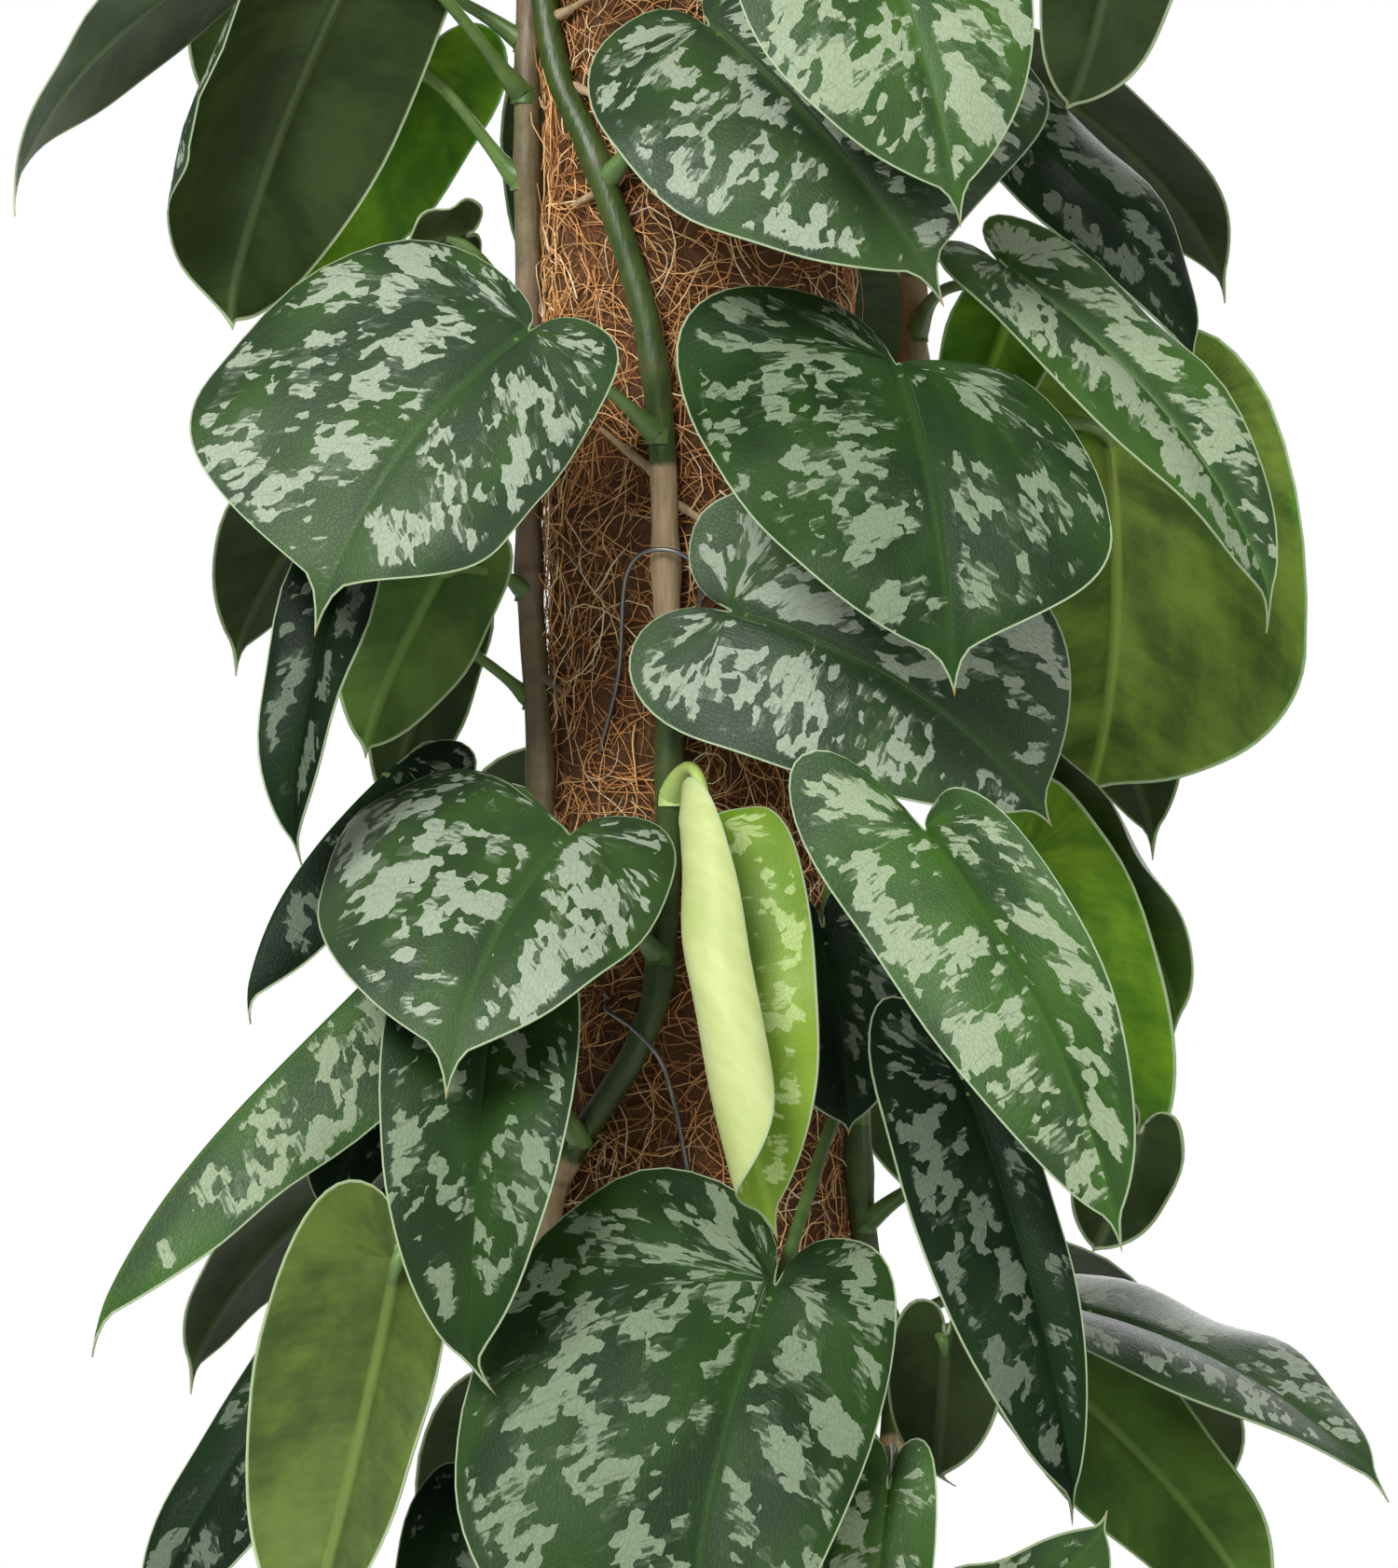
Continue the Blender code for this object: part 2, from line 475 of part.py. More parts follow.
def blade_grid(spec, length):
    """Flat points of the blade along its side veins, and its triangles, with the rim in order."""
    lines, steps = spec["lines"], spec["steps"]
    places = np.concatenate([[0.09], np.linspace(0.22, 0.93, lines - 1)])
    outlines = [half_outline(*half, spec["drip"]) for half in zip(spec["lobes"], spec["widest"])]
    ends = [[half(t) * (width, length) for t in places] for half, width in zip(outlines, spec["widths"])]
    starts = []
    for one, other in zip(*ends):
        x, y = (one + other) / 2
        start = y - 0.5 * x
        starts.append(start if start > 0.05 * length else 0.0)
    points = [(0.0, 0.0)]
    spine = []
    for start in starts:
        if start == 0.0:
            spine.append(0)
        else:
            spine.append(len(points))
            points.append((0.0, start))
    tip = len(points)
    points.append((0.0, length))
    triangles = []
    rims = []
    for side, way in ((0, 1), (1, -1)):
        outline, width = outlines[side], spec["widths"][side]
        rows = []
        for i, (t, end, start) in enumerate(zip(places, ends[side], starts)):
            row = [spine[i]]
            for j in range(1, steps + 1):
                share = j / steps
                if i == 0:
                    x, y = outline(t * share) * (width, length)
                else:
                    middle = (0.52 * end[0], start + 0.36 * (end[1] - start))
                    x = 2 * share * (1 - share) * middle[0] + share**2 * end[0]
                    y = (1 - share) ** 2 * start + 2 * share * (1 - share) * middle[1] + share**2 * end[1]
                row.append(len(points))
                points.append((way * x, y))
            rows.append(row)
        rows.append([tip] * (steps + 1))
        for low, high in zip(rows, rows[1:]):
            for j in range(steps):
                corners = (low[j], low[j + 1], high[j + 1], high[j])
                for three in ((corners[0], corners[1], corners[2]), (corners[0], corners[2], corners[3])):
                    if len(set(three)) == 3:
                        triangles.append(three if way == 1 else three[::-1])
        rims.append(rows[0][1:] + [row[-1] for row in rows[1:-1]])
    rim = [0] + rims[0] + [tip] + rims[1][::-1]
    return np.array(points), triangles, rim, set(spine) - {0}


def blade_solid(spec):
    """Points and triangles of the closed blade, split alike on both faces."""
    place, length = blade_surface(spec)
    flat, triangles, rim, spine = blade_grid(spec, length)
    x, y = flat[:, 0], flat[:, 1]
    step = 0.4
    down_blade = place(x, y + step) - place(x, y - step)
    over_blade = place(x + step, y) - place(x - step, y)
    normal = np.cross(over_blade, down_blade)
    normal /= np.linalg.norm(normal, axis=1)[:, None]
    middle = place(x, y)
    upper = middle + normal * BLADE / 2
    under = np.full(len(flat), BLADE / 2)
    for i in spine | {0}:
        under[i] = BLADE / 2 + (MIDRIB - BLADE / 2) * (1 - y[i] / length)
    lower = middle - normal * under[:, None]
    count = len(flat)
    faces = [tuple(t) for t in triangles]
    faces += [tuple(count + i for i in t[::-1]) for t in triangles]
    for a, b in zip(rim, rim[1:] + rim[:1]):
        faces.append((b, a, a + count))
        faces.append((b, a + count, b + count))
    return np.vstack([upper, lower]), faces, place


def stalk_path(spec, sunk):
    """The stalk from the stem to the base of the midrib, bowed up and out. It starts a hair off the stem,
    or, where stem and leaf are one solid, sunk into it."""
    _, ahead, ups, _, _ = midrib_frame(spec)
    sinus = np.array(spec["sinus"], float)
    start, girth = on_stem(spec["stem"], spec["foot"])
    out = unit((sinus - start) * (1, 1, 0))
    start = start + out * (girth * 0.3 if sunk else girth + FOOT_GAP)
    finish = sinus + ahead[0] * 2.6 - ups[0] * 0.9
    reach = np.linalg.norm(finish - start)
    arrive = unit(ahead[0] * spec["arrive"][0] + ups[0] * spec["arrive"][1])
    leave = unit(out + np.array((0, 0, 0.9)))
    near = start + out * 1.5
    curve = bezier(near, near + leave * reach * spec["bow"], finish - arrive * reach * 0.3, finish, 5)
    return np.vstack([start, curve])


def make_leaf(spec, sunk=False):
    """One leaf as a closed solid: the blade with its stalk."""
    verts, faces, _ = blade_solid(spec)
    mat = material("leaf_young", YOUNG_GREEN, 0.35) if spec["young"] else material("leaf", GREEN, 0.42)
    blade = add_object(spec["name"], verts, faces, mat)
    path = stalk_path(spec, sunk)
    radii = np.linspace(STALK_FOOT, STALK_NECK, len(path))
    stalk = add_object("stalk", *tube(path, radii, STALK_SIDES), mat)
    return combine(blade, [stalk], "UNION")


def make_pot():
    """A plain nursery pot: one moulded shell with a rolled rim and holes in its floor."""
    inner = POT_TOP_RADIUS - POT_WALL
    profile = [
        (0, 0), (POT_BASE_RADIUS - 2, 0), (POT_BASE_RADIUS, 2),
        (POT_TOP_RADIUS, POT_HEIGHT - POT_RIM_HEIGHT), (POT_RIM_RADIUS, POT_HEIGHT - POT_RIM_HEIGHT + 1),
        (POT_RIM_RADIUS, POT_HEIGHT - 1.5), (POT_RIM_RADIUS - 1.5, POT_HEIGHT),
        (inner, POT_HEIGHT), (inner, POT_HEIGHT - POT_RIM_HEIGHT),
        (POT_BASE_RADIUS - POT_WALL, POT_FLOOR), (0, POT_FLOOR),
    ]
    pot = turned("pot", profile, ROUND_SIDES, material("pot_plastic", POT_BLACK, 0.5))
    drills = []
    for i in range(DRAIN_HOLES):
        turn = 2 * math.pi * (i + 0.5) / DRAIN_HOLES
        x, y = DRAIN_CIRCLE * math.cos(turn), DRAIN_CIRCLE * math.sin(turn)
        drills.append(cutter((x, y, -5), (x, y, POT_FLOOR + 5), DRAIN_RADIUS, 8))
    return combine(pot, drills, "DIFFERENCE")


def wall_inside(height):
    """The pot's inner radius at a height."""
    share = (height - POT_FLOOR) / (POT_HEIGHT - POT_RIM_HEIGHT - POT_FLOOR)
    low, high = POT_BASE_RADIUS - POT_WALL, POT_TOP_RADIUS - POT_WALL
    return low + (high - low) * min(share, 1)


def make_soil():
    """The potting mix: it fills the pot, with a stepped well for the pole and a plain hole for each stem."""
    def lump(radius, height, turn):
        if height < SOIL_LEVEL - 3 or radius < 45:
            return 0, 0
        return 0, SOIL_LUMP * (math.sin(3 * turn + radius / 9) + math.sin(7 * turn - radius / 13))

    well = COIR_RADIUS + COIR_LUMP + GAP
    core_well = CORE_RADIUS + GAP
    edge = wall_inside(SOIL_LEVEL - 6) - GAP
    profile = [
        (0, POT_FLOOR + GAP), (wall_inside(POT_FLOOR + GAP) - GAP - 0.1, POT_FLOOR + GAP),
        (edge, SOIL_LEVEL - 6), (edge - 8, SOIL_LEVEL), (70, SOIL_LEVEL + 1), (52, SOIL_LEVEL),
        (well, SOIL_LEVEL), (well, COIR_FOOT - GAP), (core_well, COIR_FOOT - GAP),
        (core_well, CORE_FOOT - GAP), (0, CORE_FOOT - GAP),
    ]
    soil = turned("soil", profile, ROUND_SIDES, material("potting_mix", SOIL_BROWN, 0.95), lump)
    drills = []
    for path in STEM_PATHS.values():
        foot = path[0]
        top = foot * (1, 1, 0) + (0, 0, SOIL_LEVEL + 12)
        drills.append(cutter(foot - (0, 0, GAP), top, STEM_RADIUS + 1.2, 10))
    return combine(soil, drills, "DIFFERENCE")


def make_core():
    """The round wooden post inside the coir."""
    profile = [
        (0, CORE_FOOT), (CORE_RADIUS, CORE_FOOT), (CORE_RADIUS, CORE_TOP - 1.5),
        (CORE_RADIUS - 1.5, CORE_TOP), (0, CORE_TOP),
    ]
    return turned("pole_core", profile, 24, material("pole_wood", WOOD, 0.8))


def make_coir():
    """The coir wrapped round the post, uneven outside, with holes where the wire pins go in."""
    def lump(radius, height, turn):
        if radius < COIR_RADIUS - 1:
            return 0, 0
        return COIR_LUMP * math.sin(5 * turn + height / 23) * math.sin(2 * turn - height / 41), 0

    inner = CORE_RADIUS + GAP
    heights = np.linspace(COIR_FOOT, COIR_TOP - 2, 6)
    profile = [(inner, COIR_FOOT)] + [(COIR_RADIUS, height) for height in heights]
    profile += [(COIR_RADIUS - 3, COIR_TOP), (inner, COIR_TOP)]
    coir = turned("coir_sleeve", profile, 28, material("coir", COIR_BROWN, 0.95), lump)
    drills = []
    for marks in PINS.values():
        for bearing, height in (marks[0], marks[-1]):
            way = round_pole(height, bearing, 0, 0) * (1, 1, 0)
            way /= np.linalg.norm(way)
            outside = (0, 0, height) + way * (COIR_RADIUS + 4)
            inside = (0, 0, height) + way * (COIR_RADIUS - PIN_DEPTH - 1)
            drills.append(cutter(outside, inside, WIRE_RADIUS + 0.5, 8))
    return combine(coir, drills, "DIFFERENCE")


# Each pin's (bearing, height) points: a leg goes in, the wire crosses over the stem, and the other goes in.
PINS = {
    "wire_pin_1": [(-38, 488), (-30, 505), (-22, 528), (-11, 533), (0, 528), (-2, 512), (-4, 500)],
    "wire_pin_2": [(-36, 432), (-33, 431), (-29, 429), (-20, 425), (-12, 418), (-9, 408), (-4, 392)],
    "wire_pin_3": [(-111, 352), (-109, 364), (-105, 373), (-96.5, 377), (-88, 373), (-84, 364), (-82, 352)],
}


def make_pin(name, marks):
    """A bent wire pin over a stem, its two ends pushed into the coir."""
    crown = len(marks) // 2
    over = COIR_RADIUS + COIR_LUMP + 0.6 + 2 * STEM_RADIUS * (1 + NODE_SWELL) + GAP + WIRE_RADIUS
    low = COIR_RADIUS + COIR_LUMP + GAP + WIRE_RADIUS
    points = []
    for i, (bearing, height) in enumerate(marks):
        reach = over if abs(i - crown) < 1 else over - 1.2 if abs(i - crown) < 2 else low
        turn = math.radians(bearing)
        points.append((reach * math.sin(turn), -reach * math.cos(turn), height))
    for at, mark in ((0, marks[0]), (len(points) + 1, marks[-1])):
        turn = math.radians(mark[0])
        inside = COIR_RADIUS - PIN_DEPTH
        points.insert(at, (inside * math.sin(turn), -inside * math.cos(turn), mark[1]))
    points = np.array(points)
    path = np.vstack([points[:1], smooth_path(points[1:-1], 6), points[-1:]])
    return add_object(name, *tube(path, (WIRE_RADIUS,) * len(path), 6), material("wire", WIRE_GREY, 0.4, 1))


# Roots that run over the coir from a stem: stem, height, turn round the pole in degrees, and drop.
AIR_ROOTS = [
    ("front_stem", 640, 24, -6), ("front_stem", 616, -18, -4), ("front_stem", 545, 22, -9),
    ("front_stem", 470, -20, -8), ("front_stem", 360, 24, -14), ("left_stem", 560, 20, -10),
    ("left_stem", 330, -22, -6), ("right_stem", 450, -22, -8), ("right_stem", 520, 20, -8),
]


def make_stem(name):
    """A climbing stem with its swollen nodes and the short roots that grip the coir."""
    path = STEM_PATHS[name]
    brown = name == "left_stem"
    mat = material("stem_brown", STEM_BROWN, 0.7) if brown else material("stem_green", STEM_GREEN, 0.5)
    stem = add_object(name, *tube(path, stem_radii(path), 6), mat)
    roots = []
    for owner, height, turn, drop in AIR_ROOTS:
        if owner != name:
            continue
        start, _ = on_stem(name, height)
        bearing = math.degrees(math.atan2(start[0], -start[1]))
        marks = [(height + drop * share, bearing + turn * share) for share in (0.3, 0.65, 1)]
        route = [start] + [round_pole(h, b, 0.4, 0.8) for h, b in marks]
        route = smooth_path(route, 10)
        roots.append(add_object("root", *tube(route, np.linspace(1.0, 0.5, len(route)), 4), mat))
    return combine(stem, roots, "UNION") if roots else stem


def clear_scene():
    for old in list(bpy.data.objects):
        bpy.data.objects.remove(old)


clear_scene()
make_pot()
make_soil()
make_core()
make_coir()
for pin_name, pin_marks in PINS.items():
    make_pin(pin_name, pin_marks)
for leafy in STEMS:
    trunk = make_stem(leafy)
    if leafy.startswith("back"):
        grown = [make_leaf(spec, sunk=True) for spec in LEAVES if spec["stem"] == leafy]
        combine(trunk, grown, "UNION")
for spec in LEAVES:
    if not spec["stem"].startswith("back"):
        make_leaf(spec)
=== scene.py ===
"""Satin pothos on its coir pole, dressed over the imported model. Lengths in the sections below are
millimetres, as in the plant's own drawing, and become metres when a mesh is made."""
import math
import json
import bpy
import numpy as np
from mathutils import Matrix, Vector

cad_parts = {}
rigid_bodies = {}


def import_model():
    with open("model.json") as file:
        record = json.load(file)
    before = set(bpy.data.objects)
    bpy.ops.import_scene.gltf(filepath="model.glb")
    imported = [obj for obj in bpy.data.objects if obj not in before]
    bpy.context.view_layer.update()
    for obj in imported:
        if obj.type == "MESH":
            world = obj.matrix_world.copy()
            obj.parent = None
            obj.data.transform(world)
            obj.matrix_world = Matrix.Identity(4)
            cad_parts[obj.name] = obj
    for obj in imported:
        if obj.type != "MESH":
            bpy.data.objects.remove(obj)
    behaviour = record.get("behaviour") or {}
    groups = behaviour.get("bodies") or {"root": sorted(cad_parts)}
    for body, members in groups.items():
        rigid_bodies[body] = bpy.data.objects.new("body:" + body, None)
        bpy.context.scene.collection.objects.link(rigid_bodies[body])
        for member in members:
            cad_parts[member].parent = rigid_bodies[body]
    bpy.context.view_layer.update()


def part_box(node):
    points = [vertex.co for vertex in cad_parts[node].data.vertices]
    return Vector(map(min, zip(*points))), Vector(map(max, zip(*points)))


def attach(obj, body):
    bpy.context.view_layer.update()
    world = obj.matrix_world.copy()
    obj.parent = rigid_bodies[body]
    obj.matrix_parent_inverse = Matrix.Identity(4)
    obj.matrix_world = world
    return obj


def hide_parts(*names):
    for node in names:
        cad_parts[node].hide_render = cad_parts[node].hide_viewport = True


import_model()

# The camera looks level at the middle of the pole from the front, from far off with a long lens,
# as the photograph does: 362 mm of plant fills the height of the picture.
PICTURE_HEIGHT = 0.3616
VIEW_DISTANCE = 2.2
EYE_HEIGHT = 0.48
SENSOR = 36.0
lens = bpy.data.cameras.new("camera")
lens.sensor_width = SENSOR
lens.lens = SENSOR * VIEW_DISTANCE / PICTURE_HEIGHT
lens.clip_end = 50
camera = bpy.data.objects.new("camera", lens)
camera.location = (0, -VIEW_DISTANCE, EYE_HEIGHT)
camera.rotation_euler = (math.pi / 2, 0, 0)
bpy.context.scene.collection.objects.link(camera)
bpy.context.scene.camera = camera
bpy.context.scene.view_settings.view_transform = "Standard"

# The studio: a white surround, a pale round floor under the pot, and large soft lamps. The key is high
# at the left, a weaker one fills from the right, and one behind shines through the thin leaves.
FLOOR_RADIUS = 0.9
FLOOR_DROP = 0.0005
LAMPS_AIM_AT = (0, 0, 0.45)


def new_material(name, colour=(0.8, 0.8, 0.8), roughness=0.5, metallic=0.0):
    """A material and its Principled shader."""
    made = bpy.data.materials.new(name)
    made.use_nodes = True
    made.diffuse_color = (*colour, 1)
    shader = made.node_tree.nodes["Principled BSDF"]
    shader.inputs["Base Color"].default_value = (*colour, 1)
    shader.inputs["Roughness"].default_value = roughness
    shader.inputs["Metallic"].default_value = metallic
    return made, shader


def add_node(mat, kind, inputs=(), **settings):
    """Adds a node, sets its properties, and fills its inputs with values or with other sockets."""
    node = mat.node_tree.nodes.new("ShaderNode" + kind)
    for key, value in settings.items():
        setattr(node, key, value)
    for where, what in dict(inputs).items():
        if isinstance(what, bpy.types.NodeSocket):
            mat.node_tree.links.new(what, node.inputs[where])
        else:
            node.inputs[where].default_value = what
    return node


def blend(mat, share, one, other):
    """A colour between two others."""
    mix = add_node(mat, "Mix", {"Factor": share}, data_type="RGBA")
    for socket, what in ((mix.inputs[6], one), (mix.inputs[7], other)):
        if isinstance(what, bpy.types.NodeSocket):
            mat.node_tree.links.new(what, socket)
        else:
            socket.default_value = (*what, 1)
    return mix.outputs[2]


def noise(mat, scale, detail, where=None, **more):
    """An uneven cloud from 0 to 1, laid in the piece's own box unless told where."""
    inputs = {"Scale": scale, "Detail": detail, **more}
    if where is not None:
        inputs["Vector"] = where
    return add_node(mat, "TexNoise", inputs).outputs[0]


def connect(mat, what, shader, socket):
    mat.node_tree.links.new(what, shader.inputs[socket])


floor_mat, floor_shader = new_material("studio_floor", (0.86, 0.86, 0.85), 0.6)
floor_grain = noise(floor_mat, 40, 3)
floor_colour = blend(floor_mat, floor_grain, (0.84, 0.84, 0.83), (0.88, 0.88, 0.87))
connect(floor_mat, floor_colour, floor_shader, "Base Color")
floor_points = [
    (FLOOR_RADIUS * math.cos(math.radians(a)), FLOOR_RADIUS * math.sin(math.radians(a)), 0)
    for a in range(0, 360, 4)
]
floor_mesh = bpy.data.meshes.new("studio_floor")
floor_mesh.from_pydata(floor_points, [], [tuple(range(len(floor_points)))])
floor_mesh.materials.append(floor_mat)
floor = bpy.data.objects.new("studio_floor", floor_mesh)
floor.location = (0, 0, -FLOOR_DROP)
bpy.context.scene.collection.objects.link(floor)

SURROUND_LIGHT = 0.36
world = bpy.data.worlds.new("surround")
world.use_nodes = True
bpy.context.scene.world = world
sky = world.node_tree.nodes["Background"]
sky.inputs["Color"].default_value = (1, 1, 1, 1)
seen = world.node_tree.nodes.new("ShaderNodeLightPath")
strength = world.node_tree.nodes.new("ShaderNodeMix")
strength.inputs[2].default_value = SURROUND_LIGHT
strength.inputs[3].default_value = 1.0
world.node_tree.links.new(seen.outputs["Is Camera Ray"], strength.inputs[0])
world.node_tree.links.new(strength.outputs[0], sky.inputs["Strength"])

LAMPS = {
    "key_lamp": ((-0.8, -1.5, 1.75), 1.0, 52),
    "fill_lamp": ((1.3, -1.9, 0.8), 1.2, 16),
    "back_lamp": ((0.4, 1.5, 1.2), 1.2, 20),
}
for lamp_name, (place, width, watts) in LAMPS.items():
    lamp = bpy.data.lights.new(lamp_name, "AREA")
    lamp.size = width
    lamp.energy = watts
    lamp_object = bpy.data.objects.new(lamp_name, lamp)
    lamp_object.location = place
    aim = np.array(LAMPS_AIM_AT) - place
    spread = math.hypot(aim[0], aim[1])
    lamp_object.rotation_euler = (math.atan2(spread, -aim[2]), 0, math.atan2(aim[1], aim[0]) - math.pi / 2)
    bpy.context.scene.collection.objects.link(lamp_object)

# The nursery pot: a thin shell moulded in matte black plastic, with a stiffening rim, two faint steps
# down its wall and drain holes in its floor. It stands on its flat underside.
MM = 0.001
SHARP_ANGLE = math.radians(50)


def box_of(node):
    """A node's lowest and highest corners in millimetres."""
    low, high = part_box(node)
    return np.array(low) / MM, np.array(high) / MM


def maths(mat, how, a, b=0.0, c=0.0):
    return add_node(mat, "Math", {0: a, 1: b, 2: c}, operation=how).outputs[0]


def ramp(mat, share, low, high, soft="SMOOTHSTEP"):
    """0 below low, 1 above high, and smooth between."""
    steps = {"Value": share, "From Min": low, "From Max": high}
    return add_node(mat, "MapRange", steps, interpolation_type=soft).outputs[0]


def emboss(mat, shader, height, strength, depth):
    """Low relief, depth in metres."""
    bump = add_node(mat, "Bump", {"Strength": strength, "Distance": depth, "Height": height})
    connect(mat, bump.outputs[0], shader, "Normal")


def piece(name, verts, faces, mats, rides_for, slot, smooth=True):
    """An object from points in millimetres, which stands for one node of the model and rides with it."""
    mesh = bpy.data.meshes.new(name)
    mesh.from_pydata((np.asarray(verts, float) * MM).tolist(), [], faces)
    for mat in mats:
        mesh.materials.append(mat)
    if smooth:
        mesh.shade_smooth()
        mesh.set_sharp_from_angle(angle=SHARP_ANGLE)
    made = bpy.data.objects.new(name, mesh)
    bpy.context.scene.collection.objects.link(made)
    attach(made, "root")
    if rides_for:
        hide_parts(rides_for)
    return made


def turned(profile, sides, lump=None):
    """Points and faces turned about Z from (radius, height) points that run round the section."""
    verts = []
    rings = []
    turns = np.linspace(0, 2 * math.pi, sides, endpoint=False)
    for radius, height in profile:
        if radius == 0:
            rings.append([len(verts)] * sides)
            verts.append((0, 0, height))
            continue
        rings.append(list(range(len(verts), len(verts) + sides)))
        for turn in turns:
            out, up = lump(radius, height, turn) if lump else (0, 0)
            verts.append(((radius + out) * math.cos(turn), (radius + out) * math.sin(turn), height + up))
    faces = []
    last = len(rings) - 1 if profile[0][0] == 0 else len(rings)
    for a in range(last):
        low, high = rings[a], rings[(a + 1) % len(rings)]
        for i in range(sides):
            j = (i + 1) % sides
            corners = [low[i], low[j], high[j], high[i]]
            kept = [c for n, c in enumerate(corners) if c != corners[n - 1]]
            if len(kept) > 2:
                faces.append(kept)
    return verts, faces


POT_SIDES = 120
POT_WALL = 2.0
POT_FLOOR = 3.0
DRAIN_RADIUS = 6
DRAIN_CIRCLE = 45
DRAIN_HOLES = 6
RIM_OVERHANG = 5
RIM_HEIGHT = 20
WALL_TAPER = 25
STEP_HEIGHTS = (60, 118)
pot_high = box_of("pot")[1]
pot_height = pot_high[2]
rim_radius = pot_high[0]
wall_top = rim_radius - RIM_OVERHANG
wall_foot = rim_radius - RIM_OVERHANG - WALL_TAPER
rim_foot = pot_height - RIM_HEIGHT
inside = wall_top - POT_WALL


def wall_at(height):
    return wall_foot + (wall_top - wall_foot) * height / rim_foot


pot_profile = [(0, 0.6), (wall_foot - 9, 0.6), (wall_foot - 8, 0), (wall_foot - 2, 0)]
pot_profile.append((wall_foot - 0.4, 0.8))
for step in STEP_HEIGHTS:
    pot_profile += [(wall_at(step - 1.2), step - 1.2), (wall_at(step) + 0.5, step - 0.4)]
    pot_profile += [(wall_at(step) + 0.5, step + 0.4), (wall_at(step + 1.2), step + 1.2)]
pot_profile += [
    (wall_at(rim_foot - 1), rim_foot - 1), (wall_top + 1, rim_foot), (rim_radius - 0.8, rim_foot + 0.4),
    (rim_radius - 0.1, rim_foot + 1.2), (rim_radius, pot_height - 2.4), (rim_radius - 0.5, pot_height - 0.8),
    (rim_radius - 1.6, pot_height - 0.1), (inside + 0.6, pot_height), (inside, pot_height - 0.6),
    (inside, rim_foot), (wall_foot - POT_WALL, POT_FLOOR), (0, POT_FLOOR),
]
pot_mat, pot_shader = new_material("pot_black", (0.018, 0.018, 0.019), 0.46)
emboss(pot_mat, pot_shader, noise(pot_mat, 900, 4), 0.12, 0.0004)
pot_dust = ramp(pot_mat, noise(pot_mat, 26, 6, Roughness=0.65), 0.5, 0.8)
pot_colour = blend(pot_mat, pot_dust, (0.016, 0.016, 0.017), (0.04, 0.038, 0.035))
connect(pot_mat, pot_colour, pot_shader, "Base Color")
connect(pot_mat, maths(pot_mat, "MULTIPLY_ADD", pot_dust, 0.2, 0.42), pot_shader, "Roughness")
pot = piece("nursery_pot", *turned(pot_profile, POT_SIDES), [pot_mat], "pot", "pot")

# The holes are cut with round bars, which are then thrown away.
drills = bpy.data.collections.new("drills")
bpy.context.scene.collection.children.link(drills)
for i in range(DRAIN_HOLES):
    turn = 2 * math.pi * (i + 0.5) / DRAIN_HOLES
    bar, bar_faces = turned([(0, -5), (DRAIN_RADIUS, -5), (DRAIN_RADIUS, 9), (0, 9)], 32)
    bar_mesh = bpy.data.meshes.new("drill")
    offset = np.array((DRAIN_CIRCLE * math.cos(turn), DRAIN_CIRCLE * math.sin(turn), 0))
    bar_mesh.from_pydata(((np.array(bar) + offset) * MM).tolist(), [], bar_faces)
    drills.objects.link(bpy.data.objects.new("drill", bar_mesh))
cut = pot.modifiers.new("drain_holes", "BOOLEAN")
cut.operand_type = "COLLECTION"
cut.collection = drills
cut.operation = "DIFFERENCE"
drilled = bpy.data.meshes.new_from_object(pot.evaluated_get(bpy.context.evaluated_depsgraph_get()))
pot.modifiers.clear()
pot.data = drilled
for bar in list(drills.objects):
    bpy.data.objects.remove(bar)
bpy.data.collections.remove(drills)

# The potting mix: dark peat and bark, filled to a finger below the rim and settled round the pole. Its
# crumbs and bark chips lie loose on top, half sunk in.
SOIL_SIDES = 150
SOIL_TOP = 170
SOIL_SINK = 4
SINK_RADIUS = 90
COIR_RADIUS = 35
COIR_LUMP = 0.4
SLEEVE_SOCKET = (COIR_RADIUS + 0.8, 29.7)
POST_SOCKET = (14.3, 7.7)
soil_mat, soil_shader = new_material("potting_mix", (0.035, 0.022, 0.014), 0.95)
soil_patch = noise(soil_mat, 120, 8, Roughness=0.7)
soil_chip = add_node(soil_mat, "TexVoronoi", {"Scale": 260.0}).outputs["Distance"]
soil_dark = blend(soil_mat, soil_patch, (0.012, 0.008, 0.006), (0.07, 0.042, 0.026))
soil_shade = blend(soil_mat, ramp(soil_mat, soil_chip, 0.1, 0.7), soil_dark, (0.05, 0.032, 0.02))
connect(soil_mat, soil_shade, soil_shader, "Base Color")
emboss(soil_mat, soil_shader, soil_patch, 0.9, 0.002)


def soil_lump(radius, height, turn):
    """How far the loose top of the mix stands above or below its level."""
    if height < SOIL_TOP - 3 or radius < COIR_RADIUS + 10:
        return 0, 0
    swell = 1.5 * (math.sin(3 * turn + radius / 9) + math.sin(7 * turn - radius / 13))
    return 0, swell + 0.5 * math.sin(31 * turn + radius) * math.sin(radius / 2.3)


soil_foot = POT_FLOOR + 0.3
soil_profile = [(0, soil_foot), (wall_foot - POT_WALL - 1, soil_foot), (inside - 2.5, SOIL_TOP - 7)]
for radius in range(SINK_RADIUS + 5, COIR_RADIUS + 1, -3):
    soil_profile.append((radius, SOIL_TOP - SOIL_SINK * (radius > SINK_RADIUS)))
soil_profile += [(SLEEVE_SOCKET[0], SOIL_TOP), SLEEVE_SOCKET, (POST_SOCKET[0], SLEEVE_SOCKET[1])]
soil_profile += [POST_SOCKET, (0, POST_SOCKET[1])]
piece("soil_bed", *turned(soil_profile, SOIL_SIDES, soil_lump), [soil_mat], "soil", "potting_mix")

